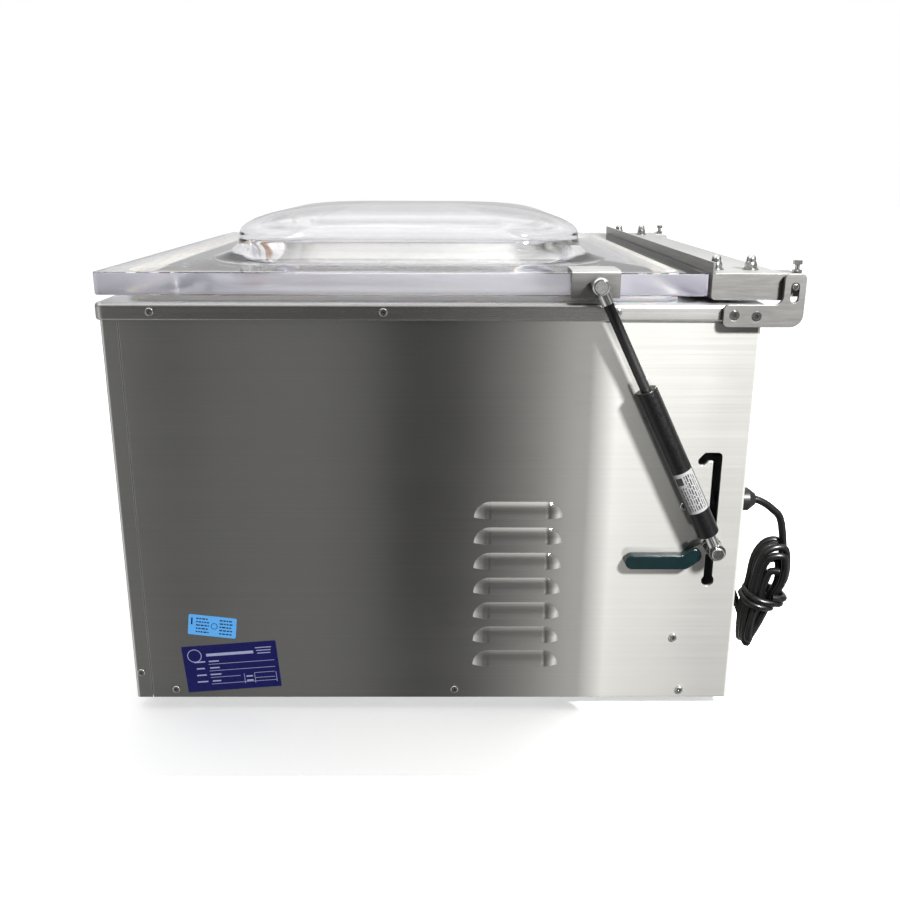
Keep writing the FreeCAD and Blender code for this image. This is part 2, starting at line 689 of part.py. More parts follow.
def spring_tube():
    """The pressure tube, closed at its foot."""
    tube = Part.makeCylinder(SPRING_TUBE_R, SPRING_TUBE_LENGTH, V(0, 0, SPRING_TUBE_START))
    tube = tube.makeFillet(2.5, edges_at_height(tube, SPRING_TUBE_START))
    bore = Part.makeCylinder(SPRING_TUBE_R - 1.5, SPRING_TUBE_LENGTH, V(0, 0, SPRING_TUBE_START + 5))
    return on_spring(tube.cut(bore))


def spring_guide():
    """The rod guide pressed in the tube's mouth, with a rolled collar outside."""
    plug = Part.makeCylinder(SPRING_TUBE_R - 1.5, 12, V(0, 0, SPRING_TUBE_END - 12))
    collar = Part.makeCylinder(SPRING_TUBE_R, 4.0, V(0, 0, SPRING_TUBE_END))
    collar = collar.makeFillet(1.8, edges_at_height(collar, SPRING_TUBE_END + 4))
    bore = Part.makeCylinder(SPRING_ROD_R + RUNNING_GAP, 30, V(0, 0, SPRING_TUBE_END - 13))
    return on_spring(union([plug, collar]).cut(bore))


def spring_rod():
    """The rod, with its piston inside the tube."""
    top = spring_length() - SOCKET_NECK
    foot = SPRING_TUBE_END - 30
    rod = Part.makeCylinder(SPRING_ROD_R, top - foot, V(0, 0, foot))
    piston = Part.makeCylinder(SPRING_TUBE_R - 1.6, 10, V(0, 0, foot))
    return on_spring(union([rod, piston]))


def spring_eye():
    """The lower eye that turns on the slot pin."""
    eye = cylinder((-5.5, 0, 0), EAST, 11, 8.5)
    neck = Part.makeCylinder(6.0, SPRING_TUBE_START)
    bore = cylinder((-10, 0, 0), EAST, 20, SLOT_PIN_R + RUNNING_GAP)
    return on_spring(union([eye, neck]).cut(bore))


def ball_socket():
    """The upper end fitting, a cup with a round cavity that opens towards the lid."""
    top = spring_length()
    cup = cylinder((-5.0, 0, top), EAST, 12, 8.5)
    cup = cup.makeFillet(2.5, [e for e in cup.Edges if e.BoundBox.XMin > 6.9])
    neck = Part.makeCylinder(6.0, SOCKET_NECK, V(0, 0, top - SOCKET_NECK))
    hollow = union([Part.makeSphere(5.1, V(0, 0, top)), cylinder((-8, 0, top), EAST, 8, 4.2)])
    return on_spring(union([cup, neck]).cut(hollow))


def stud_ball():
    """The ball end of the stud, split from its root so that the linkage opens here."""
    top = spring_length()
    neck_start = DECK_X + 3 + 4.2 + 0.5 - SPRING_X
    neck = cylinder((neck_start, 0, top), EAST, -neck_start, 3.5)
    return on_spring(union([Part.makeSphere(5.0, V(0, 0, top)), neck]))


def slot_pin():
    """A stepped pin through the panel's slot, held by a flange inside and a washer and head outside."""
    y, z = SPRING_FOOT
    inner = PANEL_X - SHEET - 3 - 0.5
    shaft = cylinder((inner - 6, y, z), EAST, SPRING_X + 6.5 - (inner - 6), SLOT_PIN_R)
    flange = cylinder((inner - 2.5, y, z), EAST, 2.5, 8.5)
    washer = cylinder((PANEL_X + 0.5, y, z), EAST, 1.6, 9.0)
    spacer = cylinder((PANEL_X + 9.2, y, z), EAST, SPRING_X - 6.0 - PANEL_X - 9.2, 6.0)
    head = cylinder((SPRING_X + 6.0, y, z), EAST, 4.5, 6.5)
    head = head.makeFillet(1.5, [e for e in head.Edges if e.BoundBox.XMin > SPRING_X + 10])
    return union([shaft, flange, washer, spacer, head])


LEVER_X = (PANEL_X + 5.6, PANEL_X + 8.6)


def lever_strip(points, half_height, x):
    """A flat strip of even height along a line of (y, z) points."""
    legs = [stadium(a, b, 2 * half_height, x) for a, b in zip(points, points[1:])]
    return union(legs)


def lever_path():
    y, z = SPRING_FOOT
    return [(y, z), (y - 13.5, z - 4), (y - 28.5, z - 16), (y - 71, z - 16)]


def lever_tab():
    """The steel strip that turns on the slot pin and runs inside the grip."""
    strip = lever_strip(lever_path(), 5.5, LEVER_X)
    eye = cylinder((LEVER_X[0], *SPRING_FOOT), EAST, LEVER_X[1] - LEVER_X[0], 9.0)
    bore = cylinder((LEVER_X[0] - 1, *SPRING_FOOT), EAST, 10, SLOT_PIN_R + RUNNING_GAP)
    return union([strip, eye]).cut(bore)


def lever_grip():
    """The dipped grip, a soft sleeve over the strip."""
    path = lever_path()
    bend = ((path[1][0] + path[2][0]) / 2 + 2, (path[1][1] + path[2][1]) / 2 + 1)
    tip = (path[3][0] - 10, path[3][1])
    x = (LEVER_X[0] - 3.0, LEVER_X[1] + 3.0)
    sleeve = lever_strip([bend, path[2], tip], 7.5, x)
    return sleeve.cut(lever_strip(path, 5.5, LEVER_X))


# ---- seal bar and chamber fittings ----

def seal_bar():
    """The aluminium bar that carries the heating strip."""
    x = (-SEAL_BAR_HALF_W, SEAL_BAR_HALF_W)
    bar = box(x, SEAL_BAR_Y, (SEAL_BAR_TOP - 22, SEAL_BAR_TOP))
    bar = bar.makeFillet(1.5, parallel_edges(bar, EAST))
    front = SEAL_BAR_Y[0]
    recess = box((x[0] + 20, x[1] - 20), (front - 1, front + 3), (SEAL_BAR_TOP - 16, SEAL_BAR_TOP - 8))
    return bar.cut(recess)


def heating_strip():
    mid = sum(SEAL_BAR_Y) / 2
    half_w = SEAL_BAR_HALF_W
    return box((-half_w + 6, half_w - 6), (mid - 2.5, mid + 2.5), (SEAL_BAR_TOP, SEAL_BAR_TOP + 0.3))


def lift_pistons():
    mid = sum(SEAL_BAR_Y) / 2
    top = SEAL_BAR_TOP - 22
    return group([cylinder((side * PISTON_X, mid, 330), UP, top - 330, PISTON_R) for side in (1, -1)])


def lift_cylinders():
    """The short air cylinders on the chamber's floor."""
    mid = sum(SEAL_BAR_Y) / 2
    body = Part.makeCylinder(18, 48).fuse(Part.makeCylinder(14, 8, V(0, 0, 48)))
    bore = Part.makeCylinder(PISTON_R + RUNNING_GAP, 60, V(0, 0, 12))
    hollow = body.cut(bore)
    floor = CHAMBER_FLOOR
    clear = CHAMBER_FRONT + 10
    trim = box((-400, 400), (-400, clear + 0.2), (floor - 1, floor + 12))
    return group([placed(hollow, (side * PISTON_X, mid, floor), UP).cut(trim) for side in (1, -1)])


def filler_plate():
    """The loose white board on the chamber's floor, with two finger holes."""
    plate = slab((-240, 240), (-222, 205), (CHAMBER_FLOOR, CHAMBER_FLOOR + 15), 20)
    holes = [cylinder((side * 190, -8, CHAMBER_FLOOR - 1), UP, 20, 14) for side in (1, -1)]
    return plate.cut(group(holes))


# ---- inside the cabinet ----

def vacuum_pump():
    """The oil pump's ribbed block, with its inlet stub and feet."""
    block = slab((10, 150), (60, 190), (45, 170), 12)
    ribs = [box((30 + 20 * i, 34 + 20 * i), (52, 60.5), (60, 160)) for i in range(6)]
    inlet = cylinder((60, 130, 170), UP, 26, 14).cut(cylinder((60, 130, 172), UP, 30, 10))
    feet = [box((x, x + 22), (62, 188), (FOOT_H + SHEET, 45)) for x in (20, 118)]
    return union([block, inlet] + ribs + feet)


def pump_motor():
    """The finned motor, bolted to the pump."""
    body = cylinder((-170, MOTOR_Y, MOTOR_Z), EAST, 178, 58)
    fins = []
    for i in range(24):
        fin = box((-160, -10), (-1.2, 1.2), (55, 65))
        fin.rotate(V(0, 0, 0), EAST, 15 * i)
        fins.append(fin.translate(V(0, MOTOR_Y, MOTOR_Z)))
    bearing = cylinder((-178, MOTOR_Y, MOTOR_Z), EAST, 8, 14)
    shaft = cylinder((-200, MOTOR_Y, MOTOR_Z), EAST, 22, 5)
    feet = [box((x, x + 20), (80, 170), (FOOT_H + SHEET, 62)) for x in (-150, -40)]
    whole = union([body, bearing, shaft] + fins + feet)
    return whole.cut(box((8, 200), (0, 300), (0, 300)))


def motor_fan():
    """The cooling fan on the motor's tail shaft."""
    bore = cylinder((-200, MOTOR_Y, MOTOR_Z), EAST, 20, 5 + RUNNING_GAP)
    hub = cylinder((-199, MOTOR_Y, MOTOR_Z), EAST, 16, 14).cut(bore)
    blades = []
    for i in range(7):
        blade = box((-197, -185), (-1, 1), (13, 52))
        blade.rotate(V(-191, 0, 30), UP, 25)
        blade.rotate(V(0, 0, 0), EAST, i * 360 / 7)
        blades.append(blade.translate(V(0, MOTOR_Y, MOTOR_Z)))
    return union([hub] + blades)


def exhaust_filter():
    """The oil mist filter beside the pump."""
    can = cylinder((185, 60, 110), NORTH, 140, 34)
    can = can.makeFillet(6, [e for e in can.Edges if e.BoundBox.YMin > 199 or e.BoundBox.YMax < 61])
    foot = box((165, 205), (80, 180), (FOOT_H + SHEET, 80))
    return union([can, foot])


def transformer():
    """The sealing transformer: a laminated core with two coils."""
    core = box((-240, -150), (-240, -180), (FOOT_H + SHEET + 3, 112))
    windows = [box((x, x + 18), (-245, -175), (38, 92)) for x in (-222, -186)]
    coils = [slab((x - 7, x + 25), (-252, -168), (42, 88), 8) for x in (-225.5, -182.5)]
    frame = core.cut(group(windows))
    feet = [box((-240, -150), (y, y + 12), (FOOT_H + SHEET, FOOT_H + SHEET + 3)) for y in (-250, -182)]
    return union([frame] + [c.cut(core).fuse(core.common(c)) for c in coils] + feet)


def solenoid_valves():
    """Three valves on a manifold: vacuum, air return and sealing pressure."""
    manifold = box((-130, 60), (-150, -118), (60, 84))
    valves = []
    for i in range(3):
        x = -100 + 64 * i
        coil = slab((x - 16, x + 16), (-150, -118), (84, 124), 4)
        stem = cylinder((x, -134, 124), UP, 14, 6)
        valves += [coil, stem]
    feet = [box((x, x + 12), (-150, -118), (FOOT_H + SHEET, 60)) for x in (-128, 46)]
    return union([manifold] + valves + feet)


def vacuum_hose():
    """The ribbed hose from the pump's inlet to the chamber's port, with a port ring."""
    ring = cylinder((-180, 150, CHAMBER_FLOOR - 16), UP, 15.5, 13)
    hose = swept([(60, 130, 196), (60, 130, 240), (0, 140, 262), (-100, 146, 262), (-180, 150, 262),
                  (-180, 150, 297)], 12, UP, UP)
    return union([hose, ring])


def control_board():
    """The board behind the fascia, with its relays and a terminal strip."""
    front = FRONT_Y + 8
    back = front + 1.6
    board = box((-195, 35), (front, back), (312, 384))
    relays = [box((x, x + 19), (back, back + 14), (318, 333)) for x in (-180, -150, -120)]
    strip = box((-60, 20), (back, back + 11), (316, 328))
    chip = box((-100, -80), (back, back + 3), (350, 370))
    return union([board, strip, chip] + relays)


# ---- front controls ----

def button_places():
    return [-70.0, -42.0, -14.0]


def display_x():
    return (-182.0, -96.0)


def display_z():
    return (334.0, 362.0)


def control_fascia():
    """The overlay plate round the display and buttons."""
    plate = box((-198, 14), (FRONT_Y - 1.2, FRONT_Y), (306, 390))
    plate = plate.makeFillet(6, parallel_edges(plate, NORTH))
    holes = [front_hole(x, BUTTON_Z, BUTTON_R + 0.3) for x in button_places()]
    holes.append(box(display_x(), (FRONT_Y - 5, FRONT_Y + 5), display_z()))
    return plate.cut(group(holes))


def press_button(x):
    """A round push button with a softened edge."""
    cap = cylinder((x, FRONT_Y - 4.2, BUTTON_Z), NORTH, 10, BUTTON_R)
    cap = cap.makeFillet(1.6, [e for e in cap.Edges if e.BoundBox.YMax < FRONT_Y - 4])
    return cap


def set_button():
    return press_button(button_places()[0])


def plus_button():
    return press_button(button_places()[1])


def minus_button():
    return press_button(button_places()[2])


def gauge_housing():
    """The vacuum gauge's cup and bezel."""
    bezel = cylinder((GAUGE_X, FRONT_Y - 9, GAUGE_Z), NORTH, 9, 33)
    bezel = bezel.makeFillet(2.5, [e for e in bezel.Edges if e.BoundBox.YMax < FRONT_Y - 8])
    cup = cylinder((GAUGE_X, FRONT_Y, GAUGE_Z), NORTH, 20, 27)
    stem = cylinder((GAUGE_X, FRONT_Y + 20, GAUGE_Z), NORTH, 8, 6)
    hollow = cylinder((GAUGE_X, FRONT_Y - 10, GAUGE_Z), NORTH, 7, 29)
    return union([bezel, cup, stem]).cut(hollow)


def gauge_needle():
    """The pointer on its hub, resting at the scale's start."""
    y = FRONT_Y - 5.4
    hub = cylinder((GAUGE_X, y, GAUGE_Z), NORTH, 1.8, 3.5)
    points = [V(-1.4, y, -7), V(1.4, y, -7), V(0.4, y, 23), V(-0.4, y, 23), V(-1.4, y, -7)]
    blade = Part.Face(Part.makePolygon(points)).extrude(V(0, 0.8, 0))
    blade.rotate(V(0, y, 0), NORTH, -120)
    return union([hub, blade.translate(V(GAUGE_X, 0.4, GAUGE_Z))])


def stop_button():
    """The mushroom stop button on its stem."""
    head = cylinder((STOP_X, FRONT_Y - 26, STOP_Z), NORTH, 12, 17)
    head = head.makeFillet(5, [e for e in head.Edges if e.BoundBox.YMax < FRONT_Y - 25])
    skirt = cylinder((STOP_X, FRONT_Y - 14, STOP_Z), NORTH, 5, 12)
    stem = cylinder((STOP_X, FRONT_Y - 9, STOP_Z), NORTH, 35, 8.0)
    return union([head, skirt, stem])


def rocker_pivot(half_length, radius):
    """A cylinder along the rocker's pivot."""
    return cylinder((ROCKER_X - half_length, FRONT_Y + 5, GAUGE_Z), EAST, 2 * half_length, radius)


def power_rocker():
    """The mains switch's rocker on its trunnions, tipped to off."""
    y = FRONT_Y + 1
    face = Part.makeCylinder(20, 13, V(ROCKER_X - 6.5, y + 13, GAUGE_Z), EAST)
    block = box((ROCKER_X - 6.5, ROCKER_X + 6.5), (y - 8, y + 6), (GAUGE_Z - 10.5, GAUGE_Z + 10.5))
    rocker = face.common(block)
    rocker.rotate(V(ROCKER_X, y + 4, GAUGE_Z), EAST, ROCKER_TILT)
    return rocker.fuse(rocker_pivot(8.4, 1.5))


def rocker_frame():
    """The switch's snap-in frame and body, bored for the rocker's trunnions."""
    y = FRONT_Y
    rim = box((ROCKER_X - 12, ROCKER_X + 12), (y - 2, y), (GAUGE_Z - 16, GAUGE_Z + 16))
    rim = rim.makeFillet(3, parallel_edges(rim, NORTH))
    body = box((ROCKER_X - 9.8, ROCKER_X + 9.8), (y, y + 24), (GAUGE_Z - 13.8, GAUGE_Z + 13.8))
    well = box((ROCKER_X - 7, ROCKER_X + 7), (y - 5, y + 14), (GAUGE_Z - 12.4, GAUGE_Z + 12.4))
    return union([rim, body]).cut(well).cut(rocker_pivot(8.6, 1.5 + RUNNING_GAP))


# ---- power cord ----

def cable_gland():
    """The nylon gland that clamps the cord at the back."""
    start = (CORD_X, REAR_Y, GLAND_Z)
    hexagon_nut = placed(hexagon(27, 6), start, NORTH)
    body = cylinder((CORD_X, REAR_Y + 6, GLAND_Z), NORTH, 13, 12.5)
    dome = placed(Part.makeCone(12.5, 6.5, 8), (CORD_X, REAR_Y + 19, GLAND_Z), NORTH)
    thread = cylinder((CORD_X, REAR_Y - 14, GLAND_Z), NORTH, 14, 8.0)
    bore = cylinder((CORD_X, REAR_Y - 15, GLAND_Z), NORTH, 50, CORD_R + 0.1)
    return union([hexagon_nut, body, dome, thread]).cut(bore)


def cord_ring(x):
    """One long loop of the tied bundle."""
    z0, z1, r = 76.0, 146.0, COIL_HALF_W
    y = COIL_Y
    edges = [
        Part.makeLine(V(x, y + r, z0), V(x, y + r, z1)),
        Part.Arc(V(x, y + r, z1), V(x, y, z1 + r), V(x, y - r, z1)).toShape(),
        Part.makeLine(V(x, y - r, z1), V(x, y - r, z0)),
        Part.Arc(V(x, y - r, z0), V(x, y, z0 - r), V(x, y + r, z0)).toShape(),
    ]
    path = Part.Wire(edges)
    section = Part.Wire([Part.makeCircle(CORD_R, V(x, y + r, z0), UP)])
    return path.makePipeShell([section], True, True)


def power_cord():
    """The lead from the gland, the loops and the tail to the plug."""
    y = COIL_Y
    x = CORD_X
    start = cylinder((x, REAR_Y - 20, GLAND_Z), NORTH, 48, CORD_R)
    bend = swept([(x, REAR_Y + 28, GLAND_Z), (x, y - 2, 211), (x, y + 11, 186), (x, y + 12, 130)],
                 CORD_R, NORTH, -UP)
    lead = union([start, bend])
    tail = swept([(*PLUG, PLUG_TOP), (206, 330, 136), (226, 334, 132), (232, 342, 88), (245, 352, 78),
                  (245, 378, 80)], CORD_R, UP, NORTH)
    rings = [cord_ring(x + CORD_LOOP_PITCH * (i + 1)) for i in range(CORD_LOOPS)]
    return group([lead, tail] + rings)


def cord_tie():
    """The band that holds the loops together."""
    z = (100, 112)
    y0, y1 = COIL_Y - COIL_HALF_W - 5.6, COIL_Y + COIL_HALF_W + 5.8
    outer = slab((238.8, 284.7), (y0 - 1.2, y1 + 1.2), z, 6)
    inner = slab((240, 283.5), (y0, y1), (z[0] - 1, z[1] + 1), 5)
    return outer.cut(inner)


def power_plug():
    """A plain moulded plug with flat pins, hanging behind the cabinet."""
    x, y = PLUG
    top = PLUG_TOP
    body = slab((x - 15, x + 15), (y - 12, y + 12), (top - 47, top - 11), 8)
    neck = Part.makeCone(9, 6, 11, V(x, y, top - 11))
    pins = [box((x + dx - 3, x + dx + 3), (y - 1, y + 1), (top - 65, top - 46)) for dx in (-7, 7)]
    pins.append(box((x - 1.5, x + 1.5), (y - 8, y - 3), (top - 67, top - 46)))
    return union([body, neck] + pins)


BUILDERS = [
    base_tray, rubber_feet, frame_posts, slot_guide_plate, right_side_panel, left_side_panel, front_panel,
    rear_panel, top_deck, vacuum_chamber, lid_gasket, panel_screws, deck_screws, hinge_brackets,
    hinge_bracket_screws, lid_shell, hinge_bar, hinge_bar_nuts, hinge_pins, cross_screws, hinge_bushes,
    counter_bar, counter_silicone, lid_spring_bracket, stud_nut, spring_tube, spring_guide, spring_rod,
    spring_eye, ball_socket, stud_ball, slot_pin, lever_tab, lever_grip, seal_bar, heating_strip,
    lift_pistons, lift_cylinders, filler_plate, vacuum_pump, pump_motor, motor_fan, exhaust_filter,
    transformer, solenoid_valves, vacuum_hose, control_board, control_fascia, set_button, plus_button,
    minus_button, gauge_housing, gauge_needle, stop_button, power_rocker, rocker_frame, cable_gland,
    power_cord, cord_tie, power_plug,
]


def main():
    """Writes each sub-part out, moved so that the middle of the machine's box is the origin."""
    os.makedirs("parts", exist_ok=True)
    to_middle = V(-sum(BOX_X) / 2, -sum(BOX_Y) / 2, 0)
    for build in BUILDERS:
        shape = build().translated(to_middle)
        shape.exportStep(f"parts/{build.__name__}.step")


main()
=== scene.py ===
import math
import random

import bpy
from mathutils import Matrix, Vector

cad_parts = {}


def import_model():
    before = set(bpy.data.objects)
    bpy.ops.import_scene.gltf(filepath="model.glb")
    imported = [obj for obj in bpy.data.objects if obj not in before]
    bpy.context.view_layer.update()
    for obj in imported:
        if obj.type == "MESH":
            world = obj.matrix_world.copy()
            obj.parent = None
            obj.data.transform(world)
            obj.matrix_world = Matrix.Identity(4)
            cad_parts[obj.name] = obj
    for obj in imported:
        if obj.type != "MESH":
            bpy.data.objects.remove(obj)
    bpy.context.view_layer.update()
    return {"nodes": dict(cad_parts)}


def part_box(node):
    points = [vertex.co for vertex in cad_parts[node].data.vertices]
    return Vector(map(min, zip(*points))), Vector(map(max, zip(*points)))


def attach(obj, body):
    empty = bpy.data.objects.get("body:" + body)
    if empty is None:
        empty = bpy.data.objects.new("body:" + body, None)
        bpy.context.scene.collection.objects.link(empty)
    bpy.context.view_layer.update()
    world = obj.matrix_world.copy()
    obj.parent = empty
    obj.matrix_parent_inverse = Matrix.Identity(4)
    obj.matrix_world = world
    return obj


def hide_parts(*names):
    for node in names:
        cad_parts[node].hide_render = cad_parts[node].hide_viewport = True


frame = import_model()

# Looks, light and camera for the vacuum packing machine. Metres; +X is the operator's right, -Y the front.
random.seed(7)
NODES = frame["nodes"]
MM = 0.001


def middle(node):
    """The centre of a CAD node's box."""
    low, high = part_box(node)
    return (low + high) / 2


# The point on the floor under the cabinet's centre
CENTRE = Vector((middle("base_tray").x, middle("base_tray").y, 0))


# ---- node trees ----

def add(tree, kind, inputs=None, **settings):
    """Adds one shader node; an input takes a value or another node's socket."""
    node = tree.nodes.new("ShaderNode" + kind)
    for key, value in settings.items():
        setattr(node, key, value)
    for key, value in (inputs or {}).items():
        if isinstance(value, bpy.types.NodeSocket):
            tree.links.new(value, node.inputs[key])
        else:
            node.inputs[key].default_value = value
    return node


def new_material(name):
    material = bpy.data.materials.new(name)
    material.use_nodes = True
    material.node_tree.nodes.clear()
    return material, material.node_tree


def scaled(colour, factor):
    return tuple(min(1.0, c * factor) for c in colour[:3]) + (1.0,)


def object_space(tree, stretch=(1, 1, 1)):
    place = add(tree, "TexCoord").outputs["Object"]
    return add(tree, "Mapping", {"Vector": place, "Scale": stretch}).outputs["Vector"]


def noise(tree, vector, scale, detail=3.0, rough=0.55):
    values = {"Vector": vector, "Scale": scale, "Detail": detail, "Roughness": rough}
    return add(tree, "TexNoise", values).outputs["Fac"]


def remap(tree, value, low, high, start=0.3, end=0.7):
    values = {"Value": value, "From Min": start, "From Max": end, "To Min": low, "To Max": high}
    return add(tree, "MapRange", values).outputs["Result"]


def ramp(tree, value, stops, interpolation="LINEAR"):
    node = add(tree, "ValToRGB", {"Fac": value})
    node.color_ramp.interpolation = interpolation
    elements = node.color_ramp.elements
    while len(elements) < len(stops):
        elements.new(0.5)
    for element, (position, colour) in zip(elements, stops):
        element.position = position
        element.color = colour
    return node.outputs["Color"]


def rounded_normal(tree, edge):
    return add(tree, "Bevel", {"Radius": edge}, samples=4).outputs["Normal"]


def bumped(tree, height, distance, normal, strength=1.0):
    values = {"Height": height, "Distance": distance, "Strength": strength, "Normal": normal}
    return add(tree, "Bump", values).outputs["Normal"]


def plain(name, colour, roughness, metallic=0.0, tint=0.07, patch=22.0, stretch=(1, 1, 1), swing=0.07,
          grain=700.0, depth=0.00002, edge=0.0006, coat=0.0, grain_detail=2.0, recess=0.0, extra=None):
    """A finish with patchy colour, uneven roughness, fine bump and softened edges; recesses can take painted
    shade.
    """
    material, tree = new_material(name)
    space = object_space(tree, stretch)
    patches = noise(tree, space, patch, 4.0)
    stops = [(0.3, scaled(colour, 1 - tint)), (0.7, scaled(colour, 1 + tint))]
    shade = ramp(tree, patches, stops)
    # Painted shade: the colour darkens in recesses narrower than recess
    if recess:
        shade = painted_recess_shade(tree, shade, recess)
    smoothest = max(0.02, roughness - swing)
    uneven = remap(tree, noise(tree, space, patch * 2.7, 5.0), smoothest, roughness + swing)
    relief = noise(tree, space, grain, grain_detail)
    normal = bumped(tree, relief, depth, rounded_normal(tree, edge))
    values = {"Base Color": shade, "Roughness": uneven, "Metallic": metallic, "Normal": normal,
              "Coat Weight": coat, "Coat Roughness": 0.08}
    values.update(extra or {})
    surface = add(tree, "BsdfPrincipled", values)
    add(tree, "OutputMaterial", {"Surface": surface.outputs["BSDF"]})
    return material


def painted_recess_shade(tree, shade, reach):
    """Paints shade into a colour: darkens it in recesses narrower than reach."""
    shut = add(tree, "AmbientOcclusion", {"Distance": reach}, samples=6).outputs["AO"]
    recess_shade = ramp(tree, shut, [(0.35, (0.02, 0.02, 0.02, 1)), (0.8, (1, 1, 1, 1))])
    values = {"Fac": 1.0, "Color1": shade, "Color2": recess_shade}
    return add(tree, "MixRGB", values, blend_type="MULTIPLY").outputs["Color"]


def brushed_steel(name, colour, sharp=0.15, haze=0.3, anisotropy=0.75, streak=(2.5, 2.5, 420), edge=0.0008,
                  contrast=0.05, recess=0.0, level=None):
    """Stainless sheet: a clear lobe stretched across the grain over a hazy one, with fine streaks.

    Faces that look upwards take the colour in level, if one is given, as painted light on their tops.
    """
    material, tree = new_material(name)
    space = object_space(tree, streak)
    streaks = noise(tree, space, 1.0, 4.0, 0.75)
    cloud = noise(tree, object_space(tree), 5.0, 4.0)
    both = add(tree, "Math", {0: streaks, 1: cloud}, operation="ADD").outputs["Value"]
    stops = [(0.0, scaled(colour, 1 - contrast)), (1.0, scaled(colour, 1 + contrast))]
    shade = ramp(tree, remap(tree, both, 0.0, 1.0, 0.7, 1.3), stops)
    # Painted light: upward faces turn to the lighter colour in level
    if level:
        outward = add(tree, "NewGeometry").outputs["Normal"]
        facing_up = add(tree, "SeparateXYZ", {"Vector": outward}).outputs["Z"]
        flat = remap(tree, facing_up, 0.0, 1.0, 0.8, 0.95)
        shade = add(tree, "MixRGB", {"Fac": flat, "Color1": shade, "Color2": level}).outputs["Color"]
    # Painted shade: the colour darkens in recesses narrower than recess
    if recess:
        shade = painted_recess_shade(tree, shade, recess)
    normal = bumped(tree, streaks, 0.000006, rounded_normal(tree, edge))
    rough = remap(tree, both, sharp - 0.03, sharp + 0.05, 0.7, 1.3)
    tangent = add(tree, "Tangent", direction_type="RADIAL", axis="Z").outputs["Tangent"]
    clear = add(tree, "BsdfPrincipled", {
        "Base Color": shade, "Metallic": 1.0, "Roughness": rough, "Normal": normal, "Tangent": tangent,
        "Anisotropic": anisotropy, "Anisotropic Rotation": 0.25})
    hazy = add(tree, "BsdfPrincipled", {
        "Base Color": shade, "Metallic": 0.1, "Roughness": 0.6, "Normal": normal, "Specular IOR Level": 0.0})
    mixed = add(tree, "MixShader", {"Fac": haze, 1: clear.outputs["BSDF"], 2: hazy.outputs["BSDF"]})
    add(tree, "OutputMaterial", {"Surface": mixed.outputs["Shader"]})
    return material


def spangled_zinc(name, colour):
    """Galvanised sheet with crystal patches."""
    material, tree = new_material(name)
    space = object_space(tree)
    cells = add(tree, "TexVoronoi", {"Vector": space, "Scale": 130.0}).outputs["Color"]
    tone = add(tree, "RGBToBW", {"Color": cells}).outputs["Val"]
    shade = ramp(tree, tone, [(0.2, scaled(colour, 0.78)), (0.8, scaled(colour, 1.12))])
    rough = remap(tree, tone, 0.3, 0.55, 0.2, 0.8)
    normal = bumped(tree, noise(tree, space, 500.0), 0.00002, rounded_normal(tree, 0.0006))
    values = {"Base Color": shade, "Metallic": 0.9, "Roughness": rough, "Normal": normal}
    surface = add(tree, "BsdfPrincipled", values)
    add(tree, "OutputMaterial", {"Surface": surface.outputs["BSDF"]})
    return material


def clear_plastic(name, colour, roughness=0.015, absorb=None, density=1.0):
    """Clear sheet that lets shadow and diffuse rays straight through."""
    material, tree = new_material(name)
    space = object_space(tree)
    hazy = remap(tree, noise(tree, space, 9.0, 5.0), roughness * 0.6, roughness * 1.8)
    shade = ramp(tree, noise(tree, space, 4.0), [(0.3, scaled(colour, 0.985)), (0.7, scaled(colour, 1.0))])
    normal = bumped(tree, noise(tree, space, 14.0, 1.0), 0.00006, rounded_normal(tree, 0.0005), 0.5)
    glass = add(tree, "BsdfPrincipled", {
        "Base Color": shade, "Roughness": hazy, "Normal": normal, "IOR": 1.49, "Transmission Weight": 1.0})
    clear = add(tree, "BsdfTransparent", {"Color": scaled(colour, 0.97)})
    rays = add(tree, "LightPath")
    passing = add(tree, "Math", {0: rays.outputs["Is Shadow Ray"], 1: rays.outputs["Is Diffuse Ray"]},
                  operation="MAXIMUM")
    mixed = add(tree, "MixShader", {"Fac": passing.outputs["Value"], 1: glass.outputs["BSDF"],
                                    2: clear.outputs["BSDF"]})
    out = add(tree, "OutputMaterial", {"Surface": mixed.outputs["Shader"]})
    if absorb:
        volume = add(tree, "VolumeAbsorption", {"Color": absorb, "Density": density})
        tree.links.new(volume.outputs["Volume"], out.inputs["Volume"])
    return material


def sawn_edge(name, colour):
    """The lid's machined edge: milky, and only half clear."""
    material, tree = new_material(name)
    space = object_space(tree, (6, 6, 60))
    stops = [(0.3, scaled(colour, 0.94)), (0.7, scaled(colour, 1.05))]
    shade = ramp(tree, noise(tree, space, 3.0, 5.0), stops)
    normal = bumped(tree, noise(tree, space, 20.0, 3.0), 0.00004, rounded_normal(tree, 0.0006))
    glass = add(tree, "BsdfPrincipled", {
        "Base Color": (0.93, 0.93, 0.98, 1), "Roughness": 0.3, "Normal": normal, "IOR": 1.49,
        "Transmission Weight": 1.0})
    milky = add(tree, "BsdfPrincipled", {"Base Color": shade, "Roughness": 0.4, "Normal": normal})
    mixed = add(tree, "MixShader", {"Fac": 0.4, 1: glass.outputs["BSDF"], 2: milky.outputs["BSDF"]})
    add(tree, "OutputMaterial", {"Surface": mixed.outputs["Shader"]})
    return material


def glowing(name, colour, strength):
    """A lit surface, faintly uneven."""
    material, tree = new_material(name)
    stops = [(0.3, scaled(colour, 0.9)), (0.7, scaled(colour, 1.0))]
    shade = ramp(tree, noise(tree, object_space(tree), 300.0), stops)
    surface = add(tree, "BsdfPrincipled", {
        "Base Color": shade, "Roughness": 0.4, "Emission Color": shade, "Emission Strength": strength})
    add(tree, "OutputMaterial", {"Surface": surface.outputs["BSDF"]})
    return material


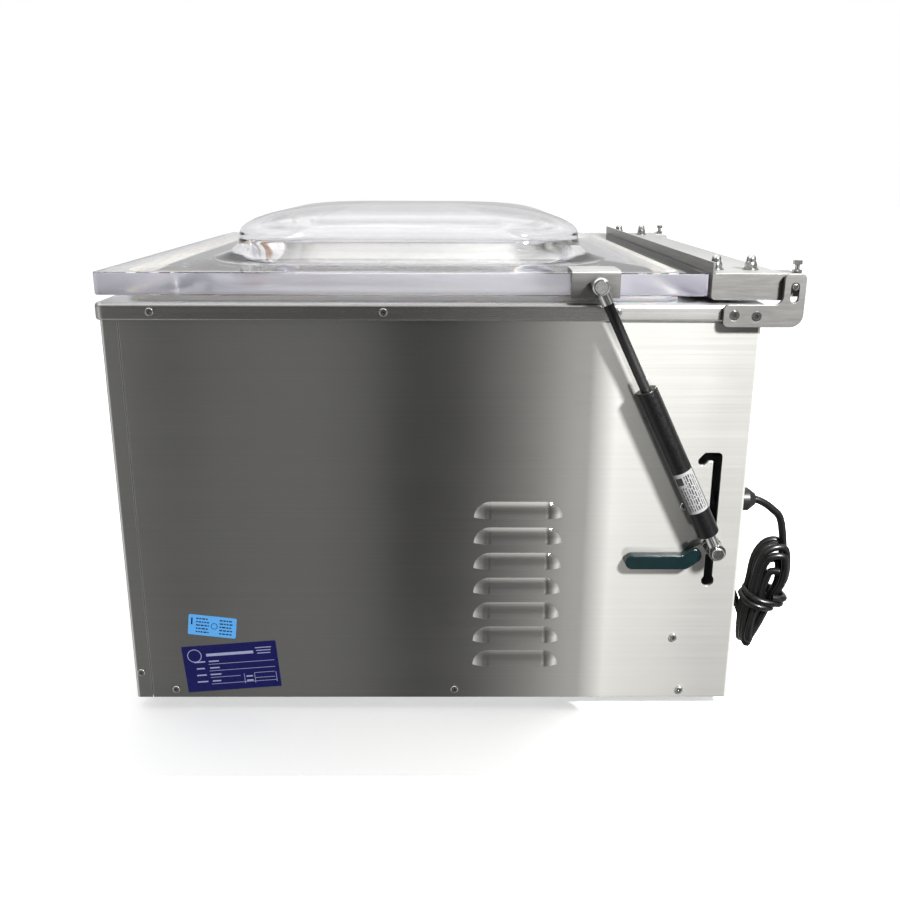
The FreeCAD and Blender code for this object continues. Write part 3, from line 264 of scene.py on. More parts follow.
STEEL = (0.60, 0.595, 0.565, 1)
FINISH = {
    "panel_steel": brushed_steel("panel_steel", STEEL),
    "front_steel": brushed_steel("front_steel", STEEL),
    # Painted light: the deck's upward faces take a lighter colour than its sides
    "deck_steel": brushed_steel("deck_steel", (0.42, 0.415, 0.40, 1), 0.26, 0.13, 0.3, (3, 3, 300),
                                edge=0.001, level=(0.60, 0.60, 0.61, 1)),
    # Painted light on the hinge parts' upward faces, and painted shade in their recesses
    "satin_steel": brushed_steel("satin_steel", (0.20, 0.198, 0.19, 1), 0.32, 0.22, 0.2, (40, 40, 500),
                                 contrast=0.12, recess=0.004, level=(0.46, 0.46, 0.45, 1)),
    "chamber_steel": brushed_steel("chamber_steel", (0.50, 0.497, 0.485, 1), 0.2, 0.25, 0.3, (3, 3, 300)),
    # Painted shade darkens the recesses of the screws, nuts and pins
    "zinc": plain("bright_zinc", (0.50, 0.50, 0.485, 1), 0.14, 1.0, 0.12, 300, grain=2500, depth=0.000008,
                  edge=0.0003, recess=0.0022),
    "galvanised": spangled_zinc("galvanised", (0.56, 0.57, 0.58, 1)),
    "silicone": plain("cream_silicone", (0.80, 0.77, 0.66, 1), 0.45, 0, 0.05, 30, swing=0.1, depth=0.00004,
                      extra={"Subsurface Weight": 0.3, "Subsurface Scale": 0.004}),
    "red_silicone": plain("red_silicone", (0.45, 0.09, 0.05, 1), 0.55, 0, 0.1, 40, depth=0.00005),
    "black_rubber": plain("black_rubber", (0.022, 0.022, 0.023, 1), 0.5, 0, 0.25, 60, swing=0.12,
                          depth=0.00005),
    "cord_rubber": plain("cord_rubber", (0.0025, 0.0025, 0.0027, 1), 0.3, 0, 0.3, 60, swing=0.06, grain=300,
                         depth=0.00001, extra={"Specular IOR Level": 0.32}),
    "black_plastic": plain("black_plastic", (0.005, 0.005, 0.0052, 1), 0.4, 0, 0.2, 50, depth=0.00002,
                           extra={"Specular IOR Level": 0.35}),
    "spring_black": plain("spring_black", (0.0018, 0.0018, 0.0018, 1), 0.34, 0, 0.3, 150, swing=0.08,
                          grain=1300, depth=0.00002, extra={"Specular IOR Level": 0.3}),
    "rod_black": plain("rod_black", (0.005, 0.005, 0.005, 1), 0.45, 0.0, 0.35, 400, swing=0.12, grain=1500,
                       depth=0.00008, extra={"Specular IOR Level": 0.35}),
    "grip": plain("teal_grip", (0.0012, 0.0075, 0.0085, 1), 0.2, 0, 0.2, 60, swing=0.05, grain=180,
                  depth=0.00003, edge=0.0028, extra={"Specular IOR Level": 0.35}),
    "aluminium": plain("aluminium", (0.70, 0.70, 0.71, 1), 0.35, 1.0, 0.06, 40, (2, 60, 60), grain=900),
    "white_plastic": plain("white_plastic", (0.66, 0.66, 0.64, 1), 0.45, 0, 0.04, 25, depth=0.00004),
    "motor_grey": plain("hammered_grey", (0.20, 0.22, 0.24, 1), 0.4, 0.3, 0.15, 40, grain=160, depth=0.0003),
    "board": plain("circuit_green", (0.02, 0.16, 0.06, 1), 0.4, 0, 0.2, 90, depth=0.00003),
    "red_plastic": plain("red_plastic", (0.55, 0.02, 0.015, 1), 0.28, 0, 0.08, 60, depth=0.00003, coat=0.2),
    "fascia": plain("fascia_print", (0.05, 0.07, 0.10, 1), 0.42, 0, 0.12, 30, grain=1200, depth=0.00003),
    "button": plain("button_grey", (0.62, 0.63, 0.65, 1), 0.4, 0, 0.05, 80, depth=0.00003),
    "hose": plain("grey_hose", (0.10, 0.10, 0.11, 1), 0.5, 0, 0.2, 60, depth=0.00005),
    "copper": plain("nichrome", (0.55, 0.38, 0.26, 1), 0.3, 1.0, 0.15, 60, (1, 30, 30), grain=900),
    "ptfe": plain("ptfe_cloth", (0.34, 0.20, 0.10, 1), 0.5, 0, 0.12, 120, grain=1500, depth=0.00005),
    # The service label and rating plate glow faintly: painted light that brightens them
    "sky_label": plain("sky_label", (0.16, 0.42, 0.86, 1), 0.38, 0, 0.08, 60, depth=0.00003,
                       extra={"Emission Color": (0.10, 0.40, 0.84, 1), "Emission Strength": 0.75}),
    "navy_label": plain("navy_label", (0.010, 0.010, 0.10, 1), 0.3, 0, 0.15, 40, depth=0.00002,
                        extra={"Emission Color": (0.006, 0.007, 0.095, 1), "Emission Strength": 0.6}),
    "white_label": plain("white_label", (0.17, 0.17, 0.17, 1), 0.5, 0, 0.05, 60, depth=0.00003),
    "navy_ink": plain("navy_ink", (0.015, 0.05, 0.22, 1), 0.45, 0, 0.15, 300, depth=0.00001),
    # The pale ink glows faintly too: painted light
    "pale_ink": plain("pale_ink", (0.42, 0.44, 0.66, 1), 0.45, 0, 0.12, 300, depth=0.00001,
                      extra={"Emission Color": (0.42, 0.44, 0.66, 1), "Emission Strength": 0.55}),
    "dark_ink": plain("dark_ink", (0.008, 0.008, 0.009, 1), 0.5, 0, 0.2, 300, depth=0.00001),
    "smoked_window": plain("smoked_window", (0.02, 0.006, 0.006, 1), 0.12, 0, 0.2, 60, depth=0.00001,
                           coat=0.5),
    "led_red": glowing("led_red", (1.0, 0.05, 0.02, 1), 2.5),
    "dial_white": plain("dial_white", (0.85, 0.85, 0.82, 1), 0.5, 0, 0.04, 60, depth=0.00002),
    "yellow_plastic": plain("yellow_plastic", (0.80, 0.55, 0.03, 1), 0.4, 0, 0.06, 60, depth=0.00003),
    "gauge_glass": clear_plastic("gauge_glass", (0.98, 0.99, 1.0, 1), 0.02),
    "acrylic_edge": sawn_edge("acrylic_edge", (0.15, 0.147, 0.18, 1)),
    "acrylic": clear_plastic("clear_acrylic", (0.96, 0.96, 0.965, 1), 0.012, (0.72, 0.72, 0.90, 1), 1.6),
}
USED_BY = {
    "panel_steel": "right_side_panel left_side_panel rear_panel",
    "front_steel": "front_panel",
    "deck_steel": "top_deck",
    "satin_steel": "hinge_brackets hinge_bar lid_spring_bracket slot_guide_plate",
    "chamber_steel": "vacuum_chamber",
    "galvanised": "base_tray frame_posts",
    "zinc": "panel_screws deck_screws hinge_bracket_screws hinge_bar_nuts hinge_pins cross_screws stud_nut "
            "spring_eye ball_socket stud_ball slot_pin lever_tab lift_pistons",
    "aluminium": "seal_bar counter_bar lift_cylinders gauge_housing",
    "silicone": "lid_gasket",
    "red_silicone": "counter_silicone",
    "black_rubber": "rubber_feet",
    "cord_rubber": "power_cord cord_tie",
    "black_plastic": "hinge_bushes cable_gland power_plug power_rocker rocker_frame motor_fan",
    "spring_black": "spring_tube spring_guide",
    "rod_black": "spring_rod",
    "grip": "lever_grip",
    "acrylic": "lid_shell",
    "white_plastic": "filler_plate",
    "dark_ink": "gauge_needle",
    "motor_grey": "vacuum_pump pump_motor exhaust_filter transformer",
    "board": "control_board",
    "fascia": "control_fascia",
    "button": "set_button plus_button minus_button",
    "red_plastic": "stop_button",
    "hose": "vacuum_hose",
    "copper": "heating_strip solenoid_valves",
}
for finish_name, names in USED_BY.items():
    for node_name in names.split():
        mesh = NODES[node_name].data
        mesh.materials.clear()
        mesh.materials.append(FINISH[finish_name])


# ---- mesh helpers ----

def make_object(name, vertices, faces, finish, body, smooth=False, sharp=35.0):
    mesh = bpy.data.meshes.new(name)
    mesh.from_pydata([tuple(v) for v in vertices], [], faces)
    mesh.validate()
    mesh.update()
    made = bpy.data.objects.new(name, mesh)
    bpy.context.scene.collection.objects.link(made)
    mesh.materials.append(FINISH[finish])
    if smooth:
        mesh.shade_smooth()
        mesh.set_sharp_from_angle(angle=math.radians(sharp))
    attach(made, body)
    return made


def rounded_outline(half_x, half_y, radius, steps=10):
    """Points round a rounded rectangle, anticlockwise."""
    points = []
    for turn, (sx, sy) in enumerate(((1, 1), (-1, 1), (-1, -1), (1, -1))):
        cx, cy = sx * (half_x - radius), sy * (half_y - radius)
        for i in range(steps + 1):
            a = math.pi / 2 * (turn + i / steps)
            points.append((cx + radius * math.cos(a), cy + radius * math.sin(a)))
    return points


def skin(rings, close=False):
    """Vertices and faces of a tube of rings, capped at both ends unless it closes on itself."""
    count = len(rings[0])
    vertices = [v for ring in rings for v in ring]
    faces = []
    last = len(rings) if close else len(rings) - 1
    for k in range(last):
        a, b = k * count, (k + 1) % len(rings) * count
        for i in range(count):
            j = (i + 1) % count
            faces.append((a + i, a + j, b + j, b + i))
    if not close:
        faces.append(tuple(reversed(range(count))))
        faces.append(tuple(range((len(rings) - 1) * count, len(rings) * count)))
    return vertices, faces


def tube_rings(path, radius, sides=14, close=False):
    """Rings carried along a path of points without twist."""
    points = [Vector(p) for p in path]
    total = len(points)
    ways = []
    for i in range(total):
        if close:
            way = points[(i + 1) % total] - points[i - 1]
        else:
            way = points[min(i + 1, total - 1)] - points[max(i - 1, 0)]
        ways.append(way.normalized())
    side = ways[0].orthogonal().normalized()
    rings = []
    for point, way in zip(points, ways):
        side = (side - way * side.dot(way)).normalized()
        other = way.cross(side)
        angles = [2 * math.pi * i / sides for i in range(sides)]
        rings.append([point + radius * (math.cos(a) * side + math.sin(a) * other) for a in angles])
    return rings


def smooth_path(knots, per_leg=10, close=False):
    """A Catmull-Rom line through the knots."""
    points = [Vector(k) for k in knots]
    n = len(points)
    legs = n if close else n - 1
    line = []
    for i in range(legs):
        if close:
            p0, p1, p2, p3 = (points[(i + d) % n] for d in (-1, 0, 1, 2))
        else:
            p0, p1, p2, p3 = (points[min(max(i + d, 0), n - 1)] for d in (-1, 0, 1, 2))
        for k in range(per_leg):
            t = k / per_leg
            line.append(0.5 * ((2 * p1) + (p2 - p0) * t + (2 * p0 - 5 * p1 + 4 * p2 - p3) * t * t
                               + (3 * p1 - p0 - 3 * p2 + p3) * t ** 3))
    if not close:
        line.append(points[-1])
    return line


def sheet(outline, thickness, place):
    """A thin sheet: an outline in its own plane, put in place by a matrix."""
    low = [place @ Vector((x, y, 0)) for x, y in outline]
    high = [place @ Vector((x, y, thickness)) for x, y in outline]
    return skin([low, high])


def joined(parts):
    """Several (vertices, faces) as one."""
    vertices, faces = [], []
    for part_vertices, part_faces in parts:
        start = len(vertices)
        vertices += part_vertices
        faces += [tuple(i + start for i in face) for face in part_faces]
    return vertices, faces


def bar(x, y, width, height, thickness, place):
    """A thin printed rule centred on a point of its plane."""
    outline = [(x - width / 2, y - height / 2), (x + width / 2, y - height / 2),
               (x + width / 2, y + height / 2), (x - width / 2, y + height / 2)]
    return sheet(outline, thickness, place)


def ring_print(x, y, radius, width, thickness, place, start=0.0, end=360.0, steps=36):
    """A printed ring or arc."""
    closed = abs(end - start) >= 360.0
    count = steps if closed else steps + 1
    rings = []
    for i in range(count):
        a = math.radians(start + (end - start) * i / steps)
        c, s = math.cos(a), math.sin(a)
        inner, outer = radius - width / 2, radius + width / 2
        rings.append([place @ Vector((x + r * c, y + r * s, z))
                      for r, z in ((inner, 0), (outer, 0), (outer, thickness), (inner, thickness))])
    return skin(rings, closed)


def facing(origin, right, up):
    """Matrix of a plane through a point, with given right and up directions."""
    right, up = Vector(right).normalized(), Vector(up).normalized()
    turn = Matrix((right, up, right.cross(up))).transposed().to_4x4()
    return Matrix.Translation(Vector(origin)) @ turn


# ---- the clear lid ----

plate_low, plate_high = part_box("lid_shell")
LID_BOTTOM = plate_low.z
LID_PLATE = 21.5 * MM
LID_TOP = LID_BOTTOM + LID_PLATE
DOME_RISE = plate_high.z - LID_TOP
DOME_MIDDLE = -27 * MM
DOME_HALF = 221 * MM
DOME_SHOULDER = 190 * MM
DOME_CROWN = 60 * MM
DOME_WALL = 8 * MM
CHAMFER = 0.8 * MM
# How far in from the plate's edge a face still belongs to the machined rim
RIM = 8 * MM


def dome_ring(half, z):
    ring = rounded_outline(half - MM, half, 0.42 * half, 16)
    return [(x + CENTRE.x, y + CENTRE.y + DOME_MIDDLE, z) for x, y in ring]


def dome_rings(shrink, drop, steps=28):
    """The dome's rings from its flared foot over the shoulder to the crown."""
    rings = []
    low = 0.45 * DOME_RISE
    flare = DOME_HALF - DOME_SHOULDER
    for i in range(steps // 2):
        turn = math.pi / 2 * i / (steps // 2)
        rings.append(dome_ring(DOME_HALF - flare * math.sin(turn) - shrink,
                               LID_TOP + low * (1 - math.cos(turn)) - drop))
    for i in range(steps + 1):
        turn = math.pi / 2 * i / steps
        half = DOME_CROWN + (DOME_SHOULDER - DOME_CROWN) * math.cos(turn) ** 0.8
        rings.append(dome_ring(half - shrink, LID_TOP + low + (DOME_RISE - low) * math.sin(turn) - drop))
    top = rings[-1][0][2]
    rings += [dome_ring(share * DOME_CROWN - shrink, top) for share in (0.7, 0.4, 0.2)]
    return rings


def lid_ring(inset, z):
    half_x = (plate_high.x - plate_low.x) / 2 - inset
    half_y = (plate_high.y - plate_low.y) / 2 - inset
    centre_y = (plate_high.y + plate_low.y) / 2
    return [(x + CENTRE.x, y + centre_y, z) for x, y in rounded_outline(half_x, half_y, 7 * MM - inset, 16)]


inner_dome = dome_rings(DOME_WALL, DOME_WALL)
lid_rings = list(reversed(inner_dome))
lid_rings.append(dome_ring(DOME_HALF - DOME_WALL, LID_BOTTOM + CHAMFER))
lid_rings.append(dome_ring(DOME_HALF - DOME_WALL + CHAMFER, LID_BOTTOM))
lid_rings.append(lid_ring(CHAMFER, LID_BOTTOM))
lid_rings.append(lid_ring(0, LID_BOTTOM + CHAMFER))
lid_rings.append(lid_ring(0, LID_TOP - CHAMFER))
lid_rings.append(lid_ring(CHAMFER, LID_TOP))
lid_rings += dome_rings(0, 0)
lid = make_object("lid_clear", *skin(lid_rings), "acrylic", "lid", True, 30)
lid.data.materials.append(FINISH["acrylic_edge"])
for face in lid.data.polygons:
    x, y, z = face.center
    at_sides = x < plate_low.x + RIM or x > plate_high.x - RIM
    at_ends = y < plate_low.y + RIM or y > plate_high.y - RIM
    if abs(face.normal.z) < 0.2 and (at_sides or at_ends):
        face.material_index = 1
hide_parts("lid_shell")


# ---- the cord, its tie and the plug's tail ----

CORD_X = middle("cable_gland").x
GLAND_Z = middle("cable_gland").z
GLAND_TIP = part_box("cable_gland")[1].y
CORD_R = 4 * MM
TIE_R = 3.6 * MM
TIE_Z = middle("cord_tie").z
COIL_Y = middle("cord_tie").y


def table_value(table, x):
    """Reads a smooth table of (place, value) pairs, from the highest place down."""
    for (x1, y1), (x0, y0) in zip(table, table[1:]):
        if x >= x0:
            t = min(1.0, max(0.0, (x - x0) / (x1 - x0)))
            t = t * t * (3 - 2 * t)
            return y0 + (y1 - y0) * t
    return table[-1][1]


# The bundle's half width and sideways lean, in mm, by height above the tie
HALF_WIDTHS = [(72, 3), (60, 16), (38, 20), (20, 18), (4, 12), (-16, 11), (-46, 3.5), (-58, 1)]
LEANS = [(72, 5), (40, 1), (20, -1), (4, -7), (-16, -15), (-46, -21), (-58, -22)]
LOOPS = 6
STEPS = 26
# Each loop's share of the bundle's width, and how far it stops short of the top and the bottom, in mm
SPREADS = (1.0, 0.86, 0.55, 0.95, 0.72, 0.42)
SHORT = (0, 5, 18, 2, 10, 26)


def coil_point(turn):
    """A point of the tied loops: wide above the tie, pinched at it and drawn to a point below."""
    strand = min(LOOPS - 1, int(turn))
    blend = min(1.0, (turn - strand) * 1.6)
    before = max(0, strand - 1)
    spread = SPREADS[before] + (SPREADS[strand] - SPREADS[before]) * blend
    short = SHORT[before] + (SHORT[strand] - SHORT[before]) * blend
    angle = -2 * math.pi * turn + 0.9
    s, c = math.sin(angle), math.cos(angle)
    height = (66 - short) * s if s > 0 else (52 - 0.5 * short) * s
    half = table_value(HALF_WIDTHS, height) * spread
    side = math.copysign(abs(c) ** 0.45, c)
    y = table_value(LEANS, height) + half * side
    x = -11 + 4.4 * turn + 2.5 * math.sin(angle * 2 + turn)
    return Vector((CORD_X + x * MM, COIL_Y + y * MM, TIE_Z + height * MM))


knots = [(CORD_X, GLAND_TIP - 4 * MM, GLAND_Z), (CORD_X, GLAND_TIP + 5 * MM, GLAND_Z - 1.5 * MM),
         (CORD_X, GLAND_TIP + 20 * MM, GLAND_Z - 11 * MM), (CORD_X, GLAND_TIP + 32 * MM, GLAND_Z - 28 * MM)]
knots += [coil_point(k / STEPS) for k in range(2, LOOPS * STEPS, 2)]


def cord_object(name, path, radius=CORD_R, sides=16):
    """A stretch of the cord along a path."""
    return make_object(name, *skin(tube_rings(path, radius, sides)), "cord_rubber", "cabinet", True, 60)


cord = cord_object("power_cord_coil", smooth_path(knots, 4))
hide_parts("power_cord")
plug_x, plug_y, plug_top = middle("power_plug").x, middle("power_plug").y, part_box("power_plug")[1].z
tail_knots = [
    (plug_x, plug_y + 1 * MM, plug_top - 1 * MM),
    (plug_x + 3 * MM, plug_y + 2 * MM, plug_top + 9 * MM),
    (plug_x + 20 * MM, plug_y + 4 * MM, plug_top + 1 * MM),
    (plug_x + 36 * MM, plug_y + 15 * MM, TIE_Z - 24 * MM),
    (plug_x + 44 * MM, plug_y + 22 * MM, TIE_Z - 38 * MM),
    (plug_x + 52 * MM, COIL_Y - 16 * MM, TIE_Z - 34 * MM),
    (plug_x + 58 * MM, COIL_Y - 12 * MM, TIE_Z - 10 * MM),
    (plug_x + 59 * MM, COIL_Y - 8 * MM, TIE_Z + 12 * MM)]
tail = cord_object("power_cord_tail", smooth_path(tail_knots))


def tie_path(turns=2.15):
    """Turns of cord round the pinch, the last end tucked in."""
    path = []
    count = int(36 * turns)
    for i in range(count + 1):
        a = 2 * math.pi * i / 36
        c, s = math.cos(a), math.sin(a)
        drop = 13 * i / count
        tuck = 1 - 0.3 * max(0.0, i / count - 0.93) / 0.07
        x = 1.5 + 20 * tuck * math.copysign(abs(c) ** 0.7, c)
        y = -2 - 7.5 * i / count + 18.5 * tuck * math.copysign(abs(s) ** 0.8, s)
        path.append((CORD_X + x * MM, COIL_Y + y * MM, TIE_Z + (11 - drop - 3.5 * s) * MM))
    return path


tie = cord_object("cord_tie_turns", tie_path(), TIE_R, 14)
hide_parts("cord_tie")


# ---- labels on the right-hand side ----

DECK_OVERHANG = 4 * MM
# The panel's flat face, which its louvres and screws stand proud of
PANEL_FACE_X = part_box("top_deck")[1].x - DECK_OVERHANG
LABEL_T = 0.2 * MM
LABEL_LIFT = 0.05 * MM
INK = 0.04 * MM


def side_plane(y, z, turn):
    """The plane of a label on the right panel; its right-hand direction runs to the rear."""
    a = math.radians(turn)
    right = (0, math.cos(a), math.sin(a))
    up = (0, -math.sin(a), math.cos(a))
    return facing((PANEL_FACE_X + LABEL_LIFT, y, z), right, up)


def flat_label(name, y, z, turn, width, height, finish, radius=1.5):
    """Sticks a label on the right panel and gives the plane that is printed on."""
    place = side_plane(y, z, turn)
    outline = rounded_outline(width / 2, height / 2, radius * MM, 4)
    make_object(name, *sheet(outline, LABEL_T, place), finish, "cabinet")
    return place @ Matrix.Translation((0, 0, LABEL_T))


on_sky = flat_label("service_label", CENTRE.y - 230 * MM, 97.5 * MM, -6.6, 50 * MM, 23 * MM, "sky_label")
marks = [ring_print(2 * MM, 0.3 * MM, 3.2 * MM, 0.7 * MM, INK, on_sky),
         bar(-21.5 * MM, 4 * MM, 1.6 * MM, 8 * MM, INK, on_sky)]
for row in range(5):
    for left, right in ((-17, -3.5), (7.5, 21)):
        x = left
        while x < right - 1:
            length = min(random.uniform(1.6, 4.2), right - x)
            y = 7.6 - 3.8 * row
            marks.append(bar((x + length / 2) * MM, y * MM, length * MM, 1.5 * MM, INK, on_sky))
            x += length + 0.8
make_object("service_label_marks", *joined(marks), "navy_ink", "cabinet")

on_navy = flat_label("rating_plate", CENTRE.y - 212.5 * MM, 50.5 * MM, 4.6, 100 * MM, 54 * MM,
                     "navy_label", 1.0)
rules = [ring_print(-37.5 * MM, 15.5 * MM, 7.2 * MM, 0.8 * MM, INK, on_navy)]
for row in range(4):
    y = (4.5 - 7.8 * row) * MM
    right = 8 if row == 2 else 46
    rules.append(bar((right - 24) / 2 * MM, y, (right + 24) * MM, 0.5 * MM, INK, on_navy))
    rules.append(bar(-33 * MM, y + 3.4 * MM, random.uniform(7, 13) * MM, 1.5 * MM, INK, on_navy))
    rules.append(bar(-18 * MM, y + 3.4 * MM, random.uniform(8, 12) * MM, 1.5 * MM, INK, on_navy))
for x in (12, 23, 46):
    rules.append(bar(x * MM, -15 * MM, 0.5 * MM, 12 * MM, INK, on_navy))
for row in range(2):
    rules.append(bar(17.5 * MM, (-12.5 - 5 * row) * MM, 7 * MM, 1.6 * MM, INK, on_navy))
    rules.append(bar(34 * MM, (-9 - 6 * row) * MM, 21 * MM, 0.5 * MM, INK, on_navy))
for row in range(3):
    rules.append(bar(36 * MM, (20 - 3.2 * row) * MM, (17 - 1.5 * row) * MM, 1.0 * MM, INK, on_navy))
rules.append(bar(0, 15.5 * MM, 50 * MM, 3.2 * MM, INK, on_navy))
make_object("rating_plate_marks", *joined(rules), "pale_ink", "cabinet")


# ---- label on the gas spring ----

SPRING_X = middle("spring_tube").x
foot = Vector((SPRING_X, middle("slot_pin").y, middle("slot_pin").z))
head = Vector((SPRING_X, middle("stud_ball").y, middle("stud_ball").z))
along = (head - foot).normalized()
across = Vector((1, 0, 0)).cross(along).normalized()


def on_tube(distance, degrees, radius):
    """A point at a distance up the gas spring from its pin, and an angle round it from +X."""
    a = math.radians(degrees)
    out = math.cos(a) * Vector((1, 0, 0)) + math.sin(a) * across
    return foot + along * distance + out * radius


def wrapped(distance, length, start, end, radius, thickness, steps=14):
    """A patch wrapped on the spring's tube."""
    far, outer = distance + length, radius + thickness
    rings = []
    for i in range(steps + 1):
        a = start + (end - start) * i / steps
        rings.append([on_tube(distance, a, radius), on_tube(far, a, radius),
                      on_tube(far, a, outer), on_tube(distance, a, outer)])
    return skin(rings)


# Just clear of the tube's own surface
TUBE_R = 11.03 * MM
WRAP_T = 0.12 * MM
PRINT_R = TUBE_R + WRAP_T
wrap = wrapped(50 * MM, 45 * MM, -62, 62, TUBE_R, WRAP_T)
make_object("spring_label", *wrap, "white_label", "gas_spring", True)
lines = []
for column in range(8):
    angle = -47 + 12.5 * column
    reach = 7 if column in (2, 3) else 4.5
    start = 53.0
    last = 92.0 if column < 5 else 80.0
    while start < last - 2:
        length = min(random.uniform(2.0, 8.0), last - start)
        lines.append(wrapped(start * MM, length * MM, angle, angle + reach, PRINT_R, INK, 3))
        start += length + 1.3
lines.append(wrapped(83 * MM, 8 * MM, 18, 52, PRINT_R, INK, 8))
make_object("spring_label_marks", *joined(lines), "dark_ink", "gas_spring", True)


# ---- front controls ----

FASCIA_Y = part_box("control_fascia")[0].y
FRONT_INK = 2 * INK


def front_plane(x, z, y):
    """An upright plane that faces the front."""
    return facing((x, y, z), (1, 0, 0), (0, 0, 1))


WINDOW_T = 0.7 * MM
window_place = front_plane(CENTRE.x - 139 * MM, 348 * MM, FASCIA_Y + 2.0 * MM)
window_outline = rounded_outline(44.5 * MM, 15.5 * MM, 2 * MM, 4)
make_object("display_window", *sheet(window_outline, WINDOW_T, window_place), "smoked_window", "cabinet")
digit_place = window_place @ Matrix.Translation((0, 0, WINDOW_T))
# Each segment's place and size, in mm
SEGMENTS = {"a": (0, 8, 8, 1.6), "b": (4.6, 4, 1.6, 6.6), "c": (4.6, -4, 1.6, 6.6), "d": (0, -8, 8, 1.6),
            "e": (-4.6, -4, 1.6, 6.6), "f": (-4.6, 4, 1.6, 6.6), "g": (0, 0, 7.4, 1.6)}
DIGITS = {"2": "abged", "5": "afgcd"}
digits = []
for i, figure in enumerate("25"):
    for segment in DIGITS[figure]:
        x, y, w, h = SEGMENTS[segment]
        digits.append(bar((x - 9 + 18 * i) * MM, y * MM, w * MM, h * MM, 0.1 * MM, digit_place))
make_object("display_digits", *joined(digits), "led_red", "cabinet")

on_fascia = front_plane(CENTRE.x, 0, FASCIA_Y)
prints = []
for name in ("set_button", "plus_button", "minus_button"):
    at = middle(name)
    prints.append(ring_print(at.x - CENTRE.x, at.z, 9.6 * MM, 0.5 * MM, FRONT_INK, on_fascia))
for i in range(6):
    x = (-176 + 16 * i) * MM
    prints.append(bar(x, 378 * MM, 9 * MM, 1.1 * MM, FRONT_INK, on_fascia))
    prints.append(ring_print(x, 370 * MM, 1.9 * MM, 0.5 * MM, FRONT_INK, on_fascia))
prints.append(bar(-92 * MM, 322 * MM, 190 * MM, 0.6 * MM, FRONT_INK, on_fascia))
make_object("fascia_marks", *joined(prints), "pale_ink", "cabinet")


def button_plane(name):
    """The plane of a button's front face."""
    return front_plane(middle(name).x, middle(name).z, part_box(name)[0].y)


set_dot = ring_print(0, 0, 2.4 * MM, 0.9 * MM, FRONT_INK, button_plane("set_button"))
make_object("set_button_mark", *set_dot, "dark_ink", "set_key")
plus = button_plane("plus_button")
plus_bars = [bar(0, 0, 6 * MM, 1.2 * MM, FRONT_INK, plus),
             bar(0, 1.8 * MM, 1.2 * MM, 2.4 * MM, FRONT_INK, plus),
             bar(0, -1.8 * MM, 1.2 * MM, 2.4 * MM, FRONT_INK, plus)]
make_object("plus_button_mark", *joined(plus_bars), "dark_ink", "plus_key")
minus_bar = bar(0, 0, 6 * MM, 1.2 * MM, FRONT_INK, button_plane("minus_button"))
make_object("minus_button_mark", *minus_bar, "dark_ink", "minus_key")

DIAL_R = 28.7 * MM
DIAL_T = 0.4 * MM
DIAL_SIDES = 48
gauge_x, gauge_z = middle("gauge_housing").x, middle("gauge_housing").z
dial_place = front_plane(gauge_x, gauge_z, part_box("gauge_needle")[1].y + 0.9 * MM)
corners = [2 * math.pi * i / DIAL_SIDES for i in range(DIAL_SIDES)]
disc = [(DIAL_R * math.cos(a), DIAL_R * math.sin(a)) for a in corners]
make_object("gauge_dial", *sheet(disc, DIAL_T, dial_place), "dial_white", "cabinet")
on_dial = dial_place @ Matrix.Translation((0, 0, DIAL_T))
ticks = [ring_print(0, 0, 25.5 * MM, 0.3 * MM, INK, on_dial, -30, 210, 48)]
for i in range(31):
    turn = on_dial @ Matrix.Rotation(math.radians(-30 + 240 * i / 30), 4, "Z")
    length, width = (4.2, 0.6) if i % 5 == 0 else (2.4, 0.35)
    ticks.append(bar((25.4 - length / 2) * MM, 0, length * MM, width * MM, INK, turn))
make_object("gauge_scale", *joined(ticks), "dark_ink", "cabinet")


def dial_number(i):
    """Makes one of the dial's six numbers, as a mesh."""
    curve = bpy.data.curves.new(f"gauge_number_{i}", "FONT")
    curve.body = str(i * 20)
    curve.size = 5 * MM
    curve.extrude = INK / 2
    curve.resolution_u = 3
    curve.align_x, curve.align_y = "CENTER", "CENTER"
    text = bpy.data.objects.new(f"gauge_number_text_{i}", curve)
    a = math.radians(210 - 48 * i)
    reach = 17.6 * MM
    text.matrix_world = on_dial @ Matrix.Translation((reach * math.cos(a), reach * math.sin(a), INK / 2))
    bpy.context.scene.collection.objects.link(text)
    bpy.context.view_layer.update()
    mesh = bpy.data.meshes.new_from_object(text)
    mesh.transform(text.matrix_world)
    bpy.data.objects.remove(text)
    mesh.materials.clear()
    mesh.materials.append(FINISH["dark_ink"])
    number = bpy.data.objects.new(f"gauge_number_{i}", mesh)
    bpy.context.scene.collection.objects.link(number)
    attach(number, "cabinet")


for i in range(6):
    dial_number(i)
glass_disc = [(x * 0.995, y * 0.995) for x, y in disc]
glass_place = front_plane(gauge_x, gauge_z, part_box("gauge_housing")[0].y + 2.2 * MM)
make_object("gauge_window", *sheet(glass_disc, 1.2 * MM, glass_place), "gauge_glass", "cabinet")

stop_place = front_plane(middle("stop_button").x, middle("stop_button").z, FASCIA_Y + 1.2 * MM)
collar = ring_print(0, 0, 19 * MM, 8 * MM, 0.8 * MM, stop_place, steps=60)
make_object("stop_collar", *collar, "yellow_plastic", "cabinet")

strip_low, strip_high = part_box("heating_strip")
tape_middle = middle("heating_strip")
tape_half = (strip_high.x - strip_low.x) / 2 - 4 * MM
tape_outline = [(-tape_half, -7 * MM), (tape_half, -7 * MM), (tape_half, 7 * MM), (-tape_half, 7 * MM)]
tape_place = Matrix.Translation((tape_middle.x, tape_middle.y, strip_high.z + 0.02 * MM))
make_object("ptfe_tape", *sheet(tape_outline, 0.12 * MM, tape_place), "ptfe", "sealing_bar")


# ---- light, floor and camera ----

def grey(value):
    return (value, value, value, 1)


